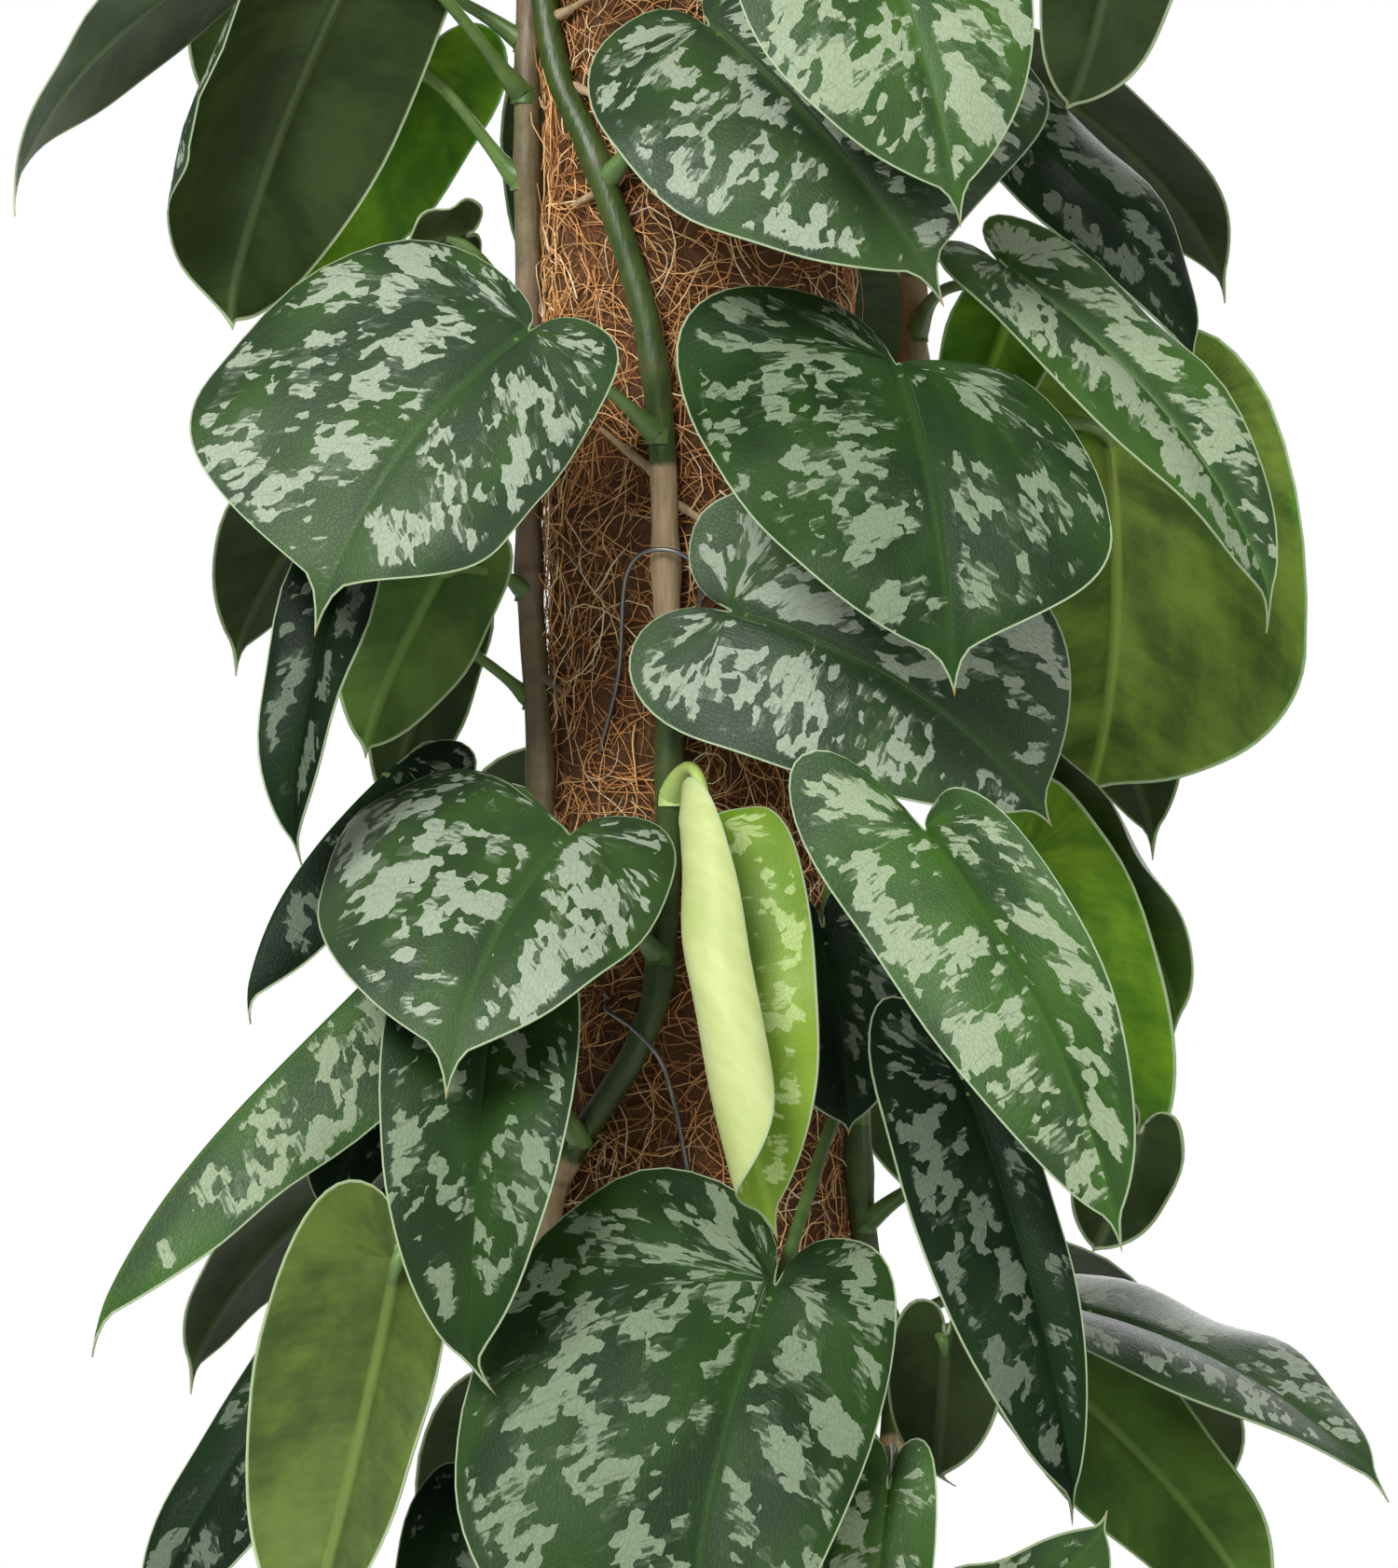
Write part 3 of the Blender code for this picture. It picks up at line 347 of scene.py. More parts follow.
CRUMBS = 1500
CRUMB_SIZES = (0.6, 2.4)
CRUMB_SHARE = 0.9
BARK_CHIP = 1.8
draw = np.random.default_rng(11)
crumb_verts = []
crumb_faces = []
lump_points = np.array([(1, 0, 0), (-1, 0, 0), (0, 1, 0), (0, -1, 0), (0, 0, 1), (0, 0, -1)], float)
lump_faces = [(0, 2, 4), (2, 1, 4), (1, 3, 4), (3, 0, 4), (2, 0, 5), (1, 2, 5), (3, 1, 5), (0, 3, 5)]
for _ in range(CRUMBS):
    turn = draw.uniform(0, 2 * math.pi)
    reach = math.sqrt(draw.uniform((COIR_RADIUS + 2) ** 2, (SINK_RADIUS + 3) ** 2))
    size = draw.uniform(*CRUMB_SIZES) * (1 if draw.uniform() < CRUMB_SHARE else BARK_CHIP)
    shape = lump_points * draw.uniform(0.5, 1.0, 3) * size + draw.normal(0, 0.12 * size, (6, 3))
    spin = draw.uniform(0, 2 * math.pi)
    x, y = shape[:, 0].copy(), shape[:, 1].copy()
    shape[:, 0] = x * math.cos(spin) - y * math.sin(spin)
    shape[:, 1] = x * math.sin(spin) + y * math.cos(spin)
    level = SOIL_TOP - (SOIL_SINK if reach > SINK_RADIUS else 0) + soil_lump(reach, SOIL_TOP, turn)[1]
    first = len(crumb_verts)
    crumb_verts += list(shape + (reach * math.cos(turn), reach * math.sin(turn), level))
    crumb_faces += [tuple(first + i for i in face) for face in lump_faces]
piece("soil_crumbs", crumb_verts, crumb_faces, [soil_mat], None, "potting_mix", smooth=False)

# The post: a turned softwood stake that stands in the potting mix and carries the coir, which is pressed
# round it. Its sawn end is just clear of the coir at the top.
POST_SIDES = 64
POST_RADIUS = 14


def place_on(mat):
    """The piece's own coordinates, in metres."""
    return add_node(mat, "TexCoord").outputs["Object"]


def stretch(mat, where, scale):
    return add_node(mat, "Mapping", {"Vector": where, "Scale": scale}).outputs[0]


def part_of(mat, value, share):
    return maths(mat, "MULTIPLY", value, share)


post_low, post_high = box_of("pole_core")
post_mat, post_shader = new_material("post_wood", (0.42, 0.28, 0.15), 0.75)
post_place = place_on(post_mat)
post_grain = noise(post_mat, 6, 6, stretch(post_mat, post_place, (60, 60, 3)))
post_rings = add_node(post_mat, "TexWave", {"Vector": post_place, "Scale": 90.0, "Distortion": 3.0},
                      wave_type="RINGS", rings_direction="Z").outputs[1]
post_tone = blend(post_mat, post_grain, (0.3, 0.18, 0.09), (0.52, 0.37, 0.21))
post_colour = blend(post_mat, part_of(post_mat, post_rings, 0.35), post_tone, (0.24, 0.14, 0.07))
connect(post_mat, post_colour, post_shader, "Base Color")
emboss(post_mat, post_shader, post_grain, 0.4, 0.0005)
post_top = post_high[2]
post_profile = [
    (0, post_low[2]), (POST_RADIUS, post_low[2]), (POST_RADIUS, post_top - 1.6),
    (POST_RADIUS - 0.5, post_top - 0.5), (POST_RADIUS - 1.6, post_top), (0, post_top),
]
piece("wooden_post", *turned(post_profile, POST_SIDES), [post_mat], "pole_core", "pole_wood")

# The coir: coconut fibre pressed round the post in a thick sleeve. It is a tangle of curly brown threads,
# denser inside, with the odd pale straw. Painted shade darkens the gaps and the threads lying deeper, and
# painted light makes the outer threads and the odd loose one springing clear paler.
COIR_SIDES = 160
COIR_RING = 4.0
coir_low, coir_high = box_of("coir_sleeve")
coir_top = coir_high[2]


def coir_lump(radius, height, turn):
    """The sleeve's slight bulges and dents."""
    if radius < COIR_RADIUS - 4:
        return 0, 0
    slow = math.sin(5 * turn + height / 23) * math.sin(2 * turn - height / 41)
    quick = math.sin(17 * turn + height / 5.1) * math.sin(height / 3.7 - 9 * turn)
    return COIR_LUMP * slow + 0.25 * quick - 0.6, 0


coir_mat, coir_shader = new_material("coir_mat", (0.12, 0.055, 0.025), 0.95)
coir_place = place_on(coir_mat)
coir_wander = add_node(coir_mat, "TexNoise", {"Vector": coir_place, "Scale": 60.0}).outputs["Color"]
coir_bent = add_node(coir_mat, "VectorMath", {0: coir_place, 1: coir_wander, 2: (0.02, 0.02, 0.02)},
                     operation="MULTIPLY_ADD").outputs[0]
coir_tangle = noise(coir_mat, 420, 8, coir_bent, Roughness=0.75, Distortion=2.5)
# painted shade: the dark end of this ramp stands for the shade in the gaps between the fibres
coir_gap_shade = ramp(coir_mat, coir_tangle, 0.35, 0.68)
coir_colour = blend(coir_mat, coir_gap_shade, (0.06, 0.024, 0.008), (0.42, 0.19, 0.065))
connect(coir_mat, coir_colour, coir_shader, "Base Color")
emboss(coir_mat, coir_shader, coir_tangle, 1.0, 0.0015)
coir_bore = POST_RADIUS + 0.3
coir_profile = [(coir_bore, coir_low[2])]
coir_profile += [(COIR_RADIUS, height) for height in np.arange(coir_low[2], coir_top - 3, COIR_RING)]
coir_profile += [(COIR_RADIUS - 1, coir_top - 1.2), (COIR_RADIUS - 3, coir_top), (coir_bore, coir_top)]
piece("coir_mat", *turned(coir_profile, COIR_SIDES, coir_lump), [coir_mat], "coir_sleeve", "coir")

FIBRE_BUNDLES = 5
FIBRES = 1900
FIBRE_POINTS = 8
FIBRE_LENGTHS = (10, 42)
FIBRE_RADII = (0.1, 0.24)
STRAW_SHARE = 0.012
STRAW_RADIUS = 0.36
LOOSE_SHARE = 0.1
DARKEST_THREAD = (0.07, 0.026, 0.009)
PALEST_THREAD = (1.0, 0.84, 0.54)
THREADS_BETWEEN = ((0.35, (0.46, 0.19, 0.06)), (0.65, (0.85, 0.44, 0.16)), (0.88, (1.0, 0.66, 0.31)))


def carried(mat, name, kind="Fac"):
    """A value that the mesh itself carries at its points."""
    return add_node(mat, "Attribute", attribute_name=name).outputs[kind]


thread_mat, thread_shader = new_material("coir_thread", (0.3, 0.15, 0.07), 0.72)
thread_colours = add_node(thread_mat, "ValToRGB", {"Fac": carried(thread_mat, "tint_and_light")})
shades = thread_colours.color_ramp.elements
shades[0].color = (*DARKEST_THREAD, 1)
shades[1].color = (*PALEST_THREAD, 1)
for at, colour in THREADS_BETWEEN:
    shades.new(at).color = (*colour, 1)
connect(thread_mat, thread_colours.outputs[0], thread_shader, "Base Color")
thread_shader.inputs["Specular IOR Level"].default_value = 0.3


def carry(made, name, values, kind="FLOAT"):
    """Gives each point of a piece a value that its material reads."""
    slots = made.data.attributes.new(name, kind, "POINT").data
    field = "vector" if kind == "FLOAT_VECTOR" else "value"
    slots.foreach_set(field, np.asarray(values, np.float32).ravel())


def fibre_bundle(name, seed):
    """Curly threads that wander over the sleeve, each a three-sided tube with its own colour, which also
    holds painted light and shade.
    """
    draw = np.random.default_rng(seed)
    count = FIBRES
    length = draw.uniform(*FIBRE_LENGTHS, count)
    heading = draw.normal(0, 1.0, count) + math.pi / 2 * (draw.uniform(size=count) < 0.45)
    straw = draw.uniform(size=count) < STRAW_SHARE
    curl = np.where(straw, 0, draw.normal(0, 0.1, count))
    swing = np.where(straw, 0, draw.uniform(0.2, 0.9, count))
    length = np.where(straw, length * 0.45, length)
    phase = draw.uniform(0, 6.28, count)
    share = np.linspace(0, 1, FIBRE_POINTS)[None, :]
    way = heading[:, None] + curl[:, None] * length[:, None] * share + swing[:, None] * np.sin(
        phase[:, None] + share * length[:, None] / 7)
    stride = (length / (FIBRE_POINTS - 1))[:, None]
    start_round = draw.uniform(0, 2 * math.pi * COIR_RADIUS, count)[:, None]
    start_height = draw.uniform(SOIL_TOP - 6, coir_top - 4, count)[:, None]
    turn = (np.cumsum(np.cos(way) * stride, axis=1) + start_round) / COIR_RADIUS
    height = np.cumsum(np.sin(way) * stride, axis=1) + start_height
    height = np.clip(height, SOIL_TOP - 8, coir_top + 0.8)
    thick = np.where(straw, STRAW_RADIUS, draw.uniform(*FIBRE_RADII, count))
    depth = draw.uniform(-0.9, 1.5, count)[:, None]
    loose = (draw.uniform(size=count) < LOOSE_SHARE)[:, None] * draw.uniform(1.0, 3.2, count)[:, None]
    reach = COIR_RADIUS - 0.1 + depth + 0.5 * np.sin(phase[:, None] * 3 + share * 9)
    reach = reach + loose * np.sin(share * math.pi)
    path = np.stack([reach * np.sin(turn), -reach * np.cos(turn), height], -1)
    ahead = np.gradient(path, axis=1)
    ahead /= np.linalg.norm(ahead, axis=2)[:, :, None] + 1e-9
    outward = np.stack([np.sin(turn), -np.cos(turn), np.zeros_like(turn)], -1)
    across = np.cross(ahead, outward)
    across /= np.linalg.norm(across, axis=2)[:, :, None] + 1e-9
    upward = np.cross(across, ahead)
    taper = (thick[:, None] * (1 - 0.5 * share**3))[..., None]
    corners = []
    for angle in (0, 2.094, 4.189):
        corners.append(path + taper * (math.cos(angle) * upward + math.sin(angle) * across))
    verts = np.stack(corners, 2).reshape(-1, 3)
    ring = np.arange(count * FIBRE_POINTS * 3).reshape(count, FIBRE_POINTS, 3)
    faces = []
    for side in range(3):
        nxt = (side + 1) % 3
        quad = np.stack([ring[:, :-1, side], ring[:, :-1, nxt], ring[:, 1:, nxt], ring[:, 1:, side]], -1)
        faces.append(quad.reshape(-1, 4))
    faces = np.concatenate(faces).tolist()
    faces += ring[:, 0, ::-1].tolist() + ring[:, -1].tolist()
    made = piece(name, verts, faces, [thread_mat], None, "coir", smooth=False)
    made.data.shade_smooth()
    # painted light and shade: threads lying further out, and loose ones springing clear, are made paler and
    # deeper ones darker; straws are pale of their own colour
    tint_and_light = draw.beta(2.0, 2.3, count) + depth[:, 0] * 0.16 + (loose[:, 0] > 0) * 0.15 + straw * 0.6
    carry(made, "tint_and_light", np.repeat(np.clip(tint_and_light, 0, 1), FIBRE_POINTS * 3))


for bundle in range(FIBRE_BUNDLES):
    fibre_bundle(f"coir_threads_{bundle + 1}", 40 + bundle)

# The stems: fleshy green runners as thick as a pencil, grey-brown and corky where they are old. They
# climb the pole, swell a little at each ringed node, and send out short brown roots that grip the coir.
STEM_RADIUS = 3.2
NODE_SPACING = 46
STEMS = {
    "front_stem": [
        (142, -52, 8), (172, -52, 8), (215, -62, 3), (270, -68, 0.6), (330, -68, 0.6), (383, -60, 0.6),
        (396, -48, 0.6), (419, -22, 0.6), (438, -13, 0.6), (478, -10, 0.6), (528, -11, 0.6), (563, -13, 0.6),
        (588, -19, 0.6), (622, -37, 0.6), (642, -55, 0.6), (665, -66, 0.6), (690, -62, 0.6), (712, -45, 0.6),
    ],
    "left_stem": [
        (142, -100, 8), (172, -100, 8), (215, -104, 3), (270, -106, 0.6), (340, -104, 0.6), (393, -92, 0.6),
        (438, -76, 0.6), (482, -68, 0.6), (527, -84, 0.6), (560, -88, 0.6), (600, -91, 0.8), (646, -92, 1.0),
        (680, -104, 0.6), (708, -112, 0.6),
    ],
    "right_stem": [
        (142, 74, 8), (172, 74, 8), (215, 78, 3), (270, 82, 1), (300, 86, 3), (334, 90, 6.5), (350, 90, 6.5),
        (362, 85, 3), (374, 77, 0.6), (402, 68, 0.6), (450, 72, 0.6), (500, 80, 0.8), (540, 86, 4),
        (573, 91, 10), (596, 92, 11), (625, 84, 5), (655, 74, 0.8), (690, 70, 0.6), (714, 66, 0.6),
    ],
    "back_left_stem": [
        (142, -150, 8), (172, -150, 8), (215, -148, 3), (280, -146, 0.6), (360, -152, 0.6), (440, -144, 0.6),
        (520, -150, 0.6), (600, -146, 0.6), (670, -150, 0.6), (700, -150, 0.6),
    ],
    "back_right_stem": [
        (142, 150, 8), (172, 150, 8), (215, 152, 3), (280, 148, 0.6), (360, 142, 0.6), (440, 148, 0.6),
        (520, 142, 0.6), (600, 148, 0.6), (670, 144, 0.6), (705, 144, 0.6),
    ],
}


def round_pole(height, bearing, standoff, radius):
    """The point at a height and bearing, for a round piece that stands off the coir."""
    reach = COIR_RADIUS + COIR_LUMP + standoff + radius
    turn = math.radians(bearing)
    return np.array((reach * math.sin(turn), -reach * math.cos(turn), height))


def smooth_path(points, step):
    """A smooth curve through the points, sampled about every step millimetres."""
    p = np.asarray(points, float)
    ends = np.vstack([2 * p[0] - p[1], p, 2 * p[-1] - p[-2]])
    path = []
    for a, b, c, d in zip(ends, ends[1:], ends[2:], ends[3:]):
        count = max(1, round(np.linalg.norm(c - b) / step))
        for t in np.arange(count) / count:
            bends = (2 * a - 5 * b + 4 * c - d) * t**2 + (3 * b - a - 3 * c + d) * t**3
            path.append(0.5 * (2 * b + (c - a) * t + bends))
    path.append(p[-1])
    return np.array(path)


def tube(path, radii, sides, squash=1.0):
    """Points and faces of a closed tube along a path; squash flattens it."""
    path = np.asarray(path, float)
    ahead = np.gradient(path, axis=0)
    ahead /= np.linalg.norm(ahead, axis=1)[:, None]
    across = np.cross(ahead[0], (0.3, 0.5, 0.81))
    turns = np.linspace(0, 2 * math.pi, sides, endpoint=False)[:, None]
    verts = []
    for point, way, radius in zip(path, ahead, radii):
        across = across - way * across.dot(way)
        across /= np.linalg.norm(across)
        other = np.cross(way, across)
        verts.append(point + radius * (np.cos(turns) * across + squash * np.sin(turns) * other))
    ring = np.arange(len(path) * sides).reshape(len(path), sides)
    nxt = np.roll(ring, -1, axis=1)
    faces = np.stack([ring[:-1], nxt[:-1], nxt[1:], ring[1:]], -1).reshape(-1, 4).tolist()
    faces += [ring[0, ::-1].tolist(), ring[-1].tolist()]
    return np.vstack(verts), faces


def stem_radii(path):
    """A little swelling at each node, and a taper over the last stretch to the growing end."""
    off = (path[:, 2] % NODE_SPACING) - NODE_SPACING / 2
    swell = 0.16 * np.exp(-((off / 5) ** 2)) + 0.03 * np.exp(-((off / 0.9) ** 2))
    taper = np.minimum(1.0, 0.55 + (path[-1][2] - path[:, 2]) / 90)
    return STEM_RADIUS * 0.96 * taper * (1 + swell)


def tone(colour, times, more=0.0):
    """The same colour made lighter or darker."""
    return tuple(min(1, times * c + more) for c in colour)


def stem_material(name, fresh, shaded, bark):
    """Green skin that turns to cork where the mesh says that the stem is old, ringed at the nodes."""
    mat, shader = new_material(name, fresh, 0.5)
    place = place_on(mat)
    mottle = noise(mat, 150, 5, place, Roughness=0.65)
    grain = noise(mat, 1, 4, stretch(mat, place, (900, 900, 130)))
    specks = noise(mat, 1400, 2, place)
    green = blend(mat, ramp(mat, mottle, 0.3, 0.75), shaded, fresh)
    green = blend(mat, part_of(mat, ramp(mat, specks, 0.55, 0.75), 0.2), green, tone(fresh, 1.5))
    cork = blend(mat, grain, tone(bark, 0.45), tone(bark, 1.35))
    edge = maths(mat, "ADD", carried(mat, "age"), maths(mat, "MULTIPLY_ADD", mottle, 0.7, -0.35))
    grown = ramp(mat, edge, 0.4, 0.6)
    colour = blend(mat, grown, green, cork)
    colour = blend(mat, part_of(mat, carried(mat, "ring"), 0.6), colour, (0.1, 0.07, 0.035))
    connect(mat, colour, shader, "Base Color")
    connect(mat, maths(mat, "MULTIPLY_ADD", grown, 0.3, 0.42), shader, "Roughness")
    emboss(mat, shader, grain, 0.5, 0.0005)
    return mat


stem_green = stem_material("stem_green", (0.06, 0.1, 0.018), (0.03, 0.055, 0.01), (0.46, 0.33, 0.18))
stem_brown = stem_material("stem_brown", (0.2, 0.17, 0.08), (0.13, 0.1, 0.055), (0.25, 0.18, 0.11))
STEM_PATHS = {}
for stem, marks in STEMS.items():
    STEM_PATHS[stem] = smooth_path([round_pole(*mark, STEM_RADIUS) for mark in marks], 2)


def on_stem(stem, height):
    """The middle of a stem at a height, and its radius there."""
    path = STEM_PATHS[stem]
    middle = np.array([np.interp(height, path[:, 2], path[:, axis]) for axis in range(3)])
    return middle, float(np.interp(height, path[:, 2], stem_radii(path)))


# Heights between which a green stem has turned to cork.
CORKY = {"front_stem": [(498, 552), (140, 395)], "right_stem": [(140, 330), (545, 600)]}
CORK_FADE = 2.5
# Each root: its stem, the height where it starts, how far round it goes in degrees, and how far it drops.
AIR_ROOTS = [
    ("front_stem", 640, 24, -6), ("front_stem", 616, -18, -4), ("front_stem", 545, 22, -9),
    ("front_stem", 549, -26, 12), ("front_stem", 470, -20, -8), ("front_stem", 360, 24, -14),
    ("front_stem", 655, 20, 4), ("left_stem", 560, 20, -10), ("left_stem", 505, 18, -4),
    ("left_stem", 330, -22, -6), ("right_stem", 450, -22, -8), ("right_stem", 520, 20, -8),
]
STEM_SIDES = 20
ROOT_SIDES = 10


def grow_stem(name):
    """A stem with its air roots: points, faces, and at each point its age and how near a ring it is."""
    path = STEM_PATHS[name]
    draw = np.random.default_rng(len(name))
    radii = stem_radii(path) * (1 + 0.02 * np.sin(path[:, 2] / 3.1) * draw.uniform(0.5, 1, len(path)))
    verts, faces = tube(path, radii, STEM_SIDES)
    height = np.repeat(path[:, 2], STEM_SIDES)
    age = np.full(len(verts), 0.12)
    for low, high in CORKY.get(name, ()):
        above_low = 1 / (1 + np.exp(-(height - low) / CORK_FADE))
        age = np.maximum(age, above_low / (1 + np.exp((height - high) / CORK_FADE)))
    if name == "left_stem":
        age = 0.55 + 0.3 * np.sin(height / 21)
    ring = np.exp(-((((height % NODE_SPACING) - NODE_SPACING / 2) / 0.8) ** 2))
    for owner, start_height, turn, drop in AIR_ROOTS:
        if owner != name:
            continue
        start, _ = on_stem(name, start_height)
        bearing = math.degrees(math.atan2(start[0], -start[1]))
        marks = [(start_height + drop * share, bearing + turn * share) for share in (0.3, 0.65, 1)]
        route = smooth_path([start] + [round_pole(h, b, 0.5, 0.9) for h, b in marks], 2)
        thick = np.linspace(1.5, 0.5, len(route)) * draw.uniform(0.85, 1.15, len(route))
        root, root_faces = tube(route, thick, ROOT_SIDES)
        faces += [[len(verts) + i for i in face] for face in root_faces]
        verts = np.vstack([verts, root])
        age = np.concatenate([age, np.full(len(root), 1.0)])
        ring = np.concatenate([ring, np.zeros(len(root))])
    return verts, faces, age, ring


def stem_piece(stem, mat, slot):
    verts, faces, age, ring = grow_stem(stem)
    runner = piece(stem + "_runner", verts, faces, [mat], stem, slot)
    carry(runner, "age", age)
    carry(runner, "ring", ring)


stem_piece("front_stem", stem_green, "stem_green")
stem_piece("left_stem", stem_brown, "stem_brown")
stem_piece("right_stem", stem_green, "stem_green")

# The pins: bent steel wire, gone dull. Each straddles a stem and holds it to the pole by its two legs,
# which are pushed into the coir.
WIRE_RADIUS = 0.55
PINS = {
    "wire_pin_1": [(-38, 488), (-30, 505), (-22, 528), (-11, 533), (0, 528), (-2, 512), (-4, 500)],
    "wire_pin_2": [(-36, 432), (-33, 431), (-29, 429), (-20, 425), (-12, 418), (-9, 408), (-4, 392)],
    "wire_pin_3": [(-111, 352), (-109, 364), (-105, 373), (-96.5, 377), (-88, 373), (-84, 364), (-82, 352)],
}
wire_mat, wire_shader = new_material("pin_wire", (0.2, 0.2, 0.2), 0.38, 1.0)
wire_film = noise(wire_mat, 300, 4)
wire_colour = blend(wire_mat, wire_film, (0.11, 0.11, 0.11), (0.32, 0.32, 0.31))
connect(wire_mat, wire_colour, wire_shader, "Base Color")
connect(wire_mat, maths(wire_mat, "MULTIPLY_ADD", wire_film, 0.4, 0.2), wire_shader, "Roughness")
over_stem = COIR_RADIUS + COIR_LUMP + 0.6 + 2 * STEM_RADIUS * 1.16 + 0.3 + 0.8
on_coir = COIR_RADIUS + COIR_LUMP + 1.1
LEG_END_RADIUS = 22
WIRE_SIDES = 10
for pin_name, marks in PINS.items():
    crown = len(marks) // 2
    bent = []
    for i, (bearing, height) in enumerate(marks):
        reach = (over_stem, over_stem - 1.2, on_coir)[min(abs(i - crown), 2)]
        turn = math.radians(bearing)
        bent.append((reach * math.sin(turn), -reach * math.cos(turn), height))
    leg_ends = []
    for x, y, z in (bent[0], bent[-1]):
        inward = LEG_END_RADIUS / math.hypot(x, y)
        leg_ends.append((x * inward, y * inward, z))
    wire_path = np.vstack([leg_ends[0], smooth_path(bent, 1.2), leg_ends[1]])
    wire, wire_faces = tube(wire_path, [WIRE_RADIUS] * len(wire_path), WIRE_SIDES)
    piece(pin_name + "_wire", wire, wire_faces, [wire_mat], pin_name, "wire")

# The leaves: leathery hearts with a drawn-out drip tip, each on its own round stalk that clasps the stem.
# Above they are satin blue-green, broken along the veins by silver patches, with a pale horny rim; below
# they are plain, matt and lighter. One young leaf, yellow-green and glossy, is still rolled on one side.
SILVER = (0.3, 0.355, 0.26)
HORN = (0.31, 0.39, 0.23)
SCAR = (0.3, 0.2, 0.08)
DRY_TIP = (0.4, 0.27, 0.1)


def leaf_above(name, deep, fresh, silver, cover, sheen=0.42, relief=0.35, gloss=0.2):
    """The upper side. cover is the share of it, about, that is silver. The mesh carries flat vein
    coordinates, from one side vein to the next and out along it, in millimetres."""
    mat, shader = new_material(name, deep, sheen)
    flat = carried(mat, "vein", "Vector")
    margin = carried(mat, "margin")
    out = add_node(mat, "SeparateXYZ", {0: flat}).outputs[1]
    # the silver grows in ragged cells, gathered in clumps, and keeps off the midrib and the rim
    ragged = add_node(mat, "TexNoise", {"Vector": flat, "Scale": 0.5, "Detail": 2.0}).outputs["Color"]
    nudge = add_node(mat, "VectorMath", {0: ragged, 1: (0.9, 0.9, 0), 2: stretch(mat, flat, (0.62, 0.3, 1))},
                     operation="MULTIPLY_ADD").outputs[0]
    cells = add_node(mat, "TexVoronoi", {"Vector": nudge, "Scale": 1.0}).outputs["Position"]
    clump = noise(mat, 1, 1.5, stretch(mat, cells, (0.21, 0.25, 1)))
    teeth = noise(mat, 1, 3, stretch(mat, flat, (1.7, 0.22, 1)))
    value = maths(mat, "MULTIPLY_ADD", teeth, 0.14, clump)
    value = maths(mat, "MULTIPLY_ADD", ramp(mat, margin, 0.8, 4.5), 0.15, value)
    value = maths(mat, "MULTIPLY_ADD", ramp(mat, out, 1.0, 6.0), 0.13, value)
    level = 0.965 - 0.25 * cover
    patch = ramp(mat, value, level - 0.006, level + 0.008, "LINEAR")
    halo = part_of(mat, ramp(mat, value, level - 0.05, level), 0.18)
    # the green ground, uneven and fresher in places and along the midrib
    fine = noise(mat, 3, 3, flat, Roughness=0.7)
    ground = blend(mat, ramp(mat, noise(mat, 0.05, 2, flat), 0.36, 0.66), deep, fresh)
    ground = blend(mat, part_of(mat, ramp(mat, fine, 0.45, 0.75), 0.3), ground, tone(deep, 1.6, 0.01))
    ground = blend(mat, halo, ground, silver)
    ground = blend(mat, part_of(mat, ramp(mat, out, 1.9, 0.4), 0.35), ground, tone(fresh, 1.5))
    # the silver itself, crossed by a net of darker seams and hairline veins
    net = add_node(mat, "TexVoronoi", {"Vector": flat, "Scale": 0.9}, feature="DISTANCE_TO_EDGE").outputs[0]
    hair = noise(mat, 1, 1, stretch(mat, flat, (0.55, 0.02, 1)))
    hair = maths(mat, "ABSOLUTE", maths(mat, "SUBTRACT", hair, 0.5))
    shine = blend(mat, ramp(mat, net, 0.12, 0.0), silver, tone(silver, 0.78))
    shine = blend(mat, part_of(mat, ramp(mat, hair, 0.012, 0.003), 0.5), shine, tone(silver, 0.5))
    shine = blend(mat, part_of(mat, ramp(mat, fine, 0.4, 0.7), 0.3), shine, tone(silver, 1.25))
    colour = blend(mat, part_of(mat, patch, 0.93), ground, shine)
    colour = blend(mat, ramp(mat, margin, 0.55, 0.3), colour, HORN)
    scars = noise(mat, 0.42, 3, flat, Roughness=0.75)
    colour = blend(mat, part_of(mat, ramp(mat, scars, 0.735, 0.755), 0.7), colour, SCAR)
    colour = blend(mat, ramp(mat, carried(mat, "to_tip"), 2.8, 1.2), colour, DRY_TIP)
    connect(mat, colour, shader, "Base Color")
    connect(mat, maths(mat, "MULTIPLY_ADD", patch, 0.1, sheen), shader, "Roughness")
    shader.inputs["Specular IOR Level"].default_value = gloss
    height = maths(mat, "MULTIPLY_ADD", fine, 0.5, part_of(mat, ramp(mat, net, 0.0, 0.15), 0.5))
    emboss(mat, shader, height, relief, 0.00025)
    return mat


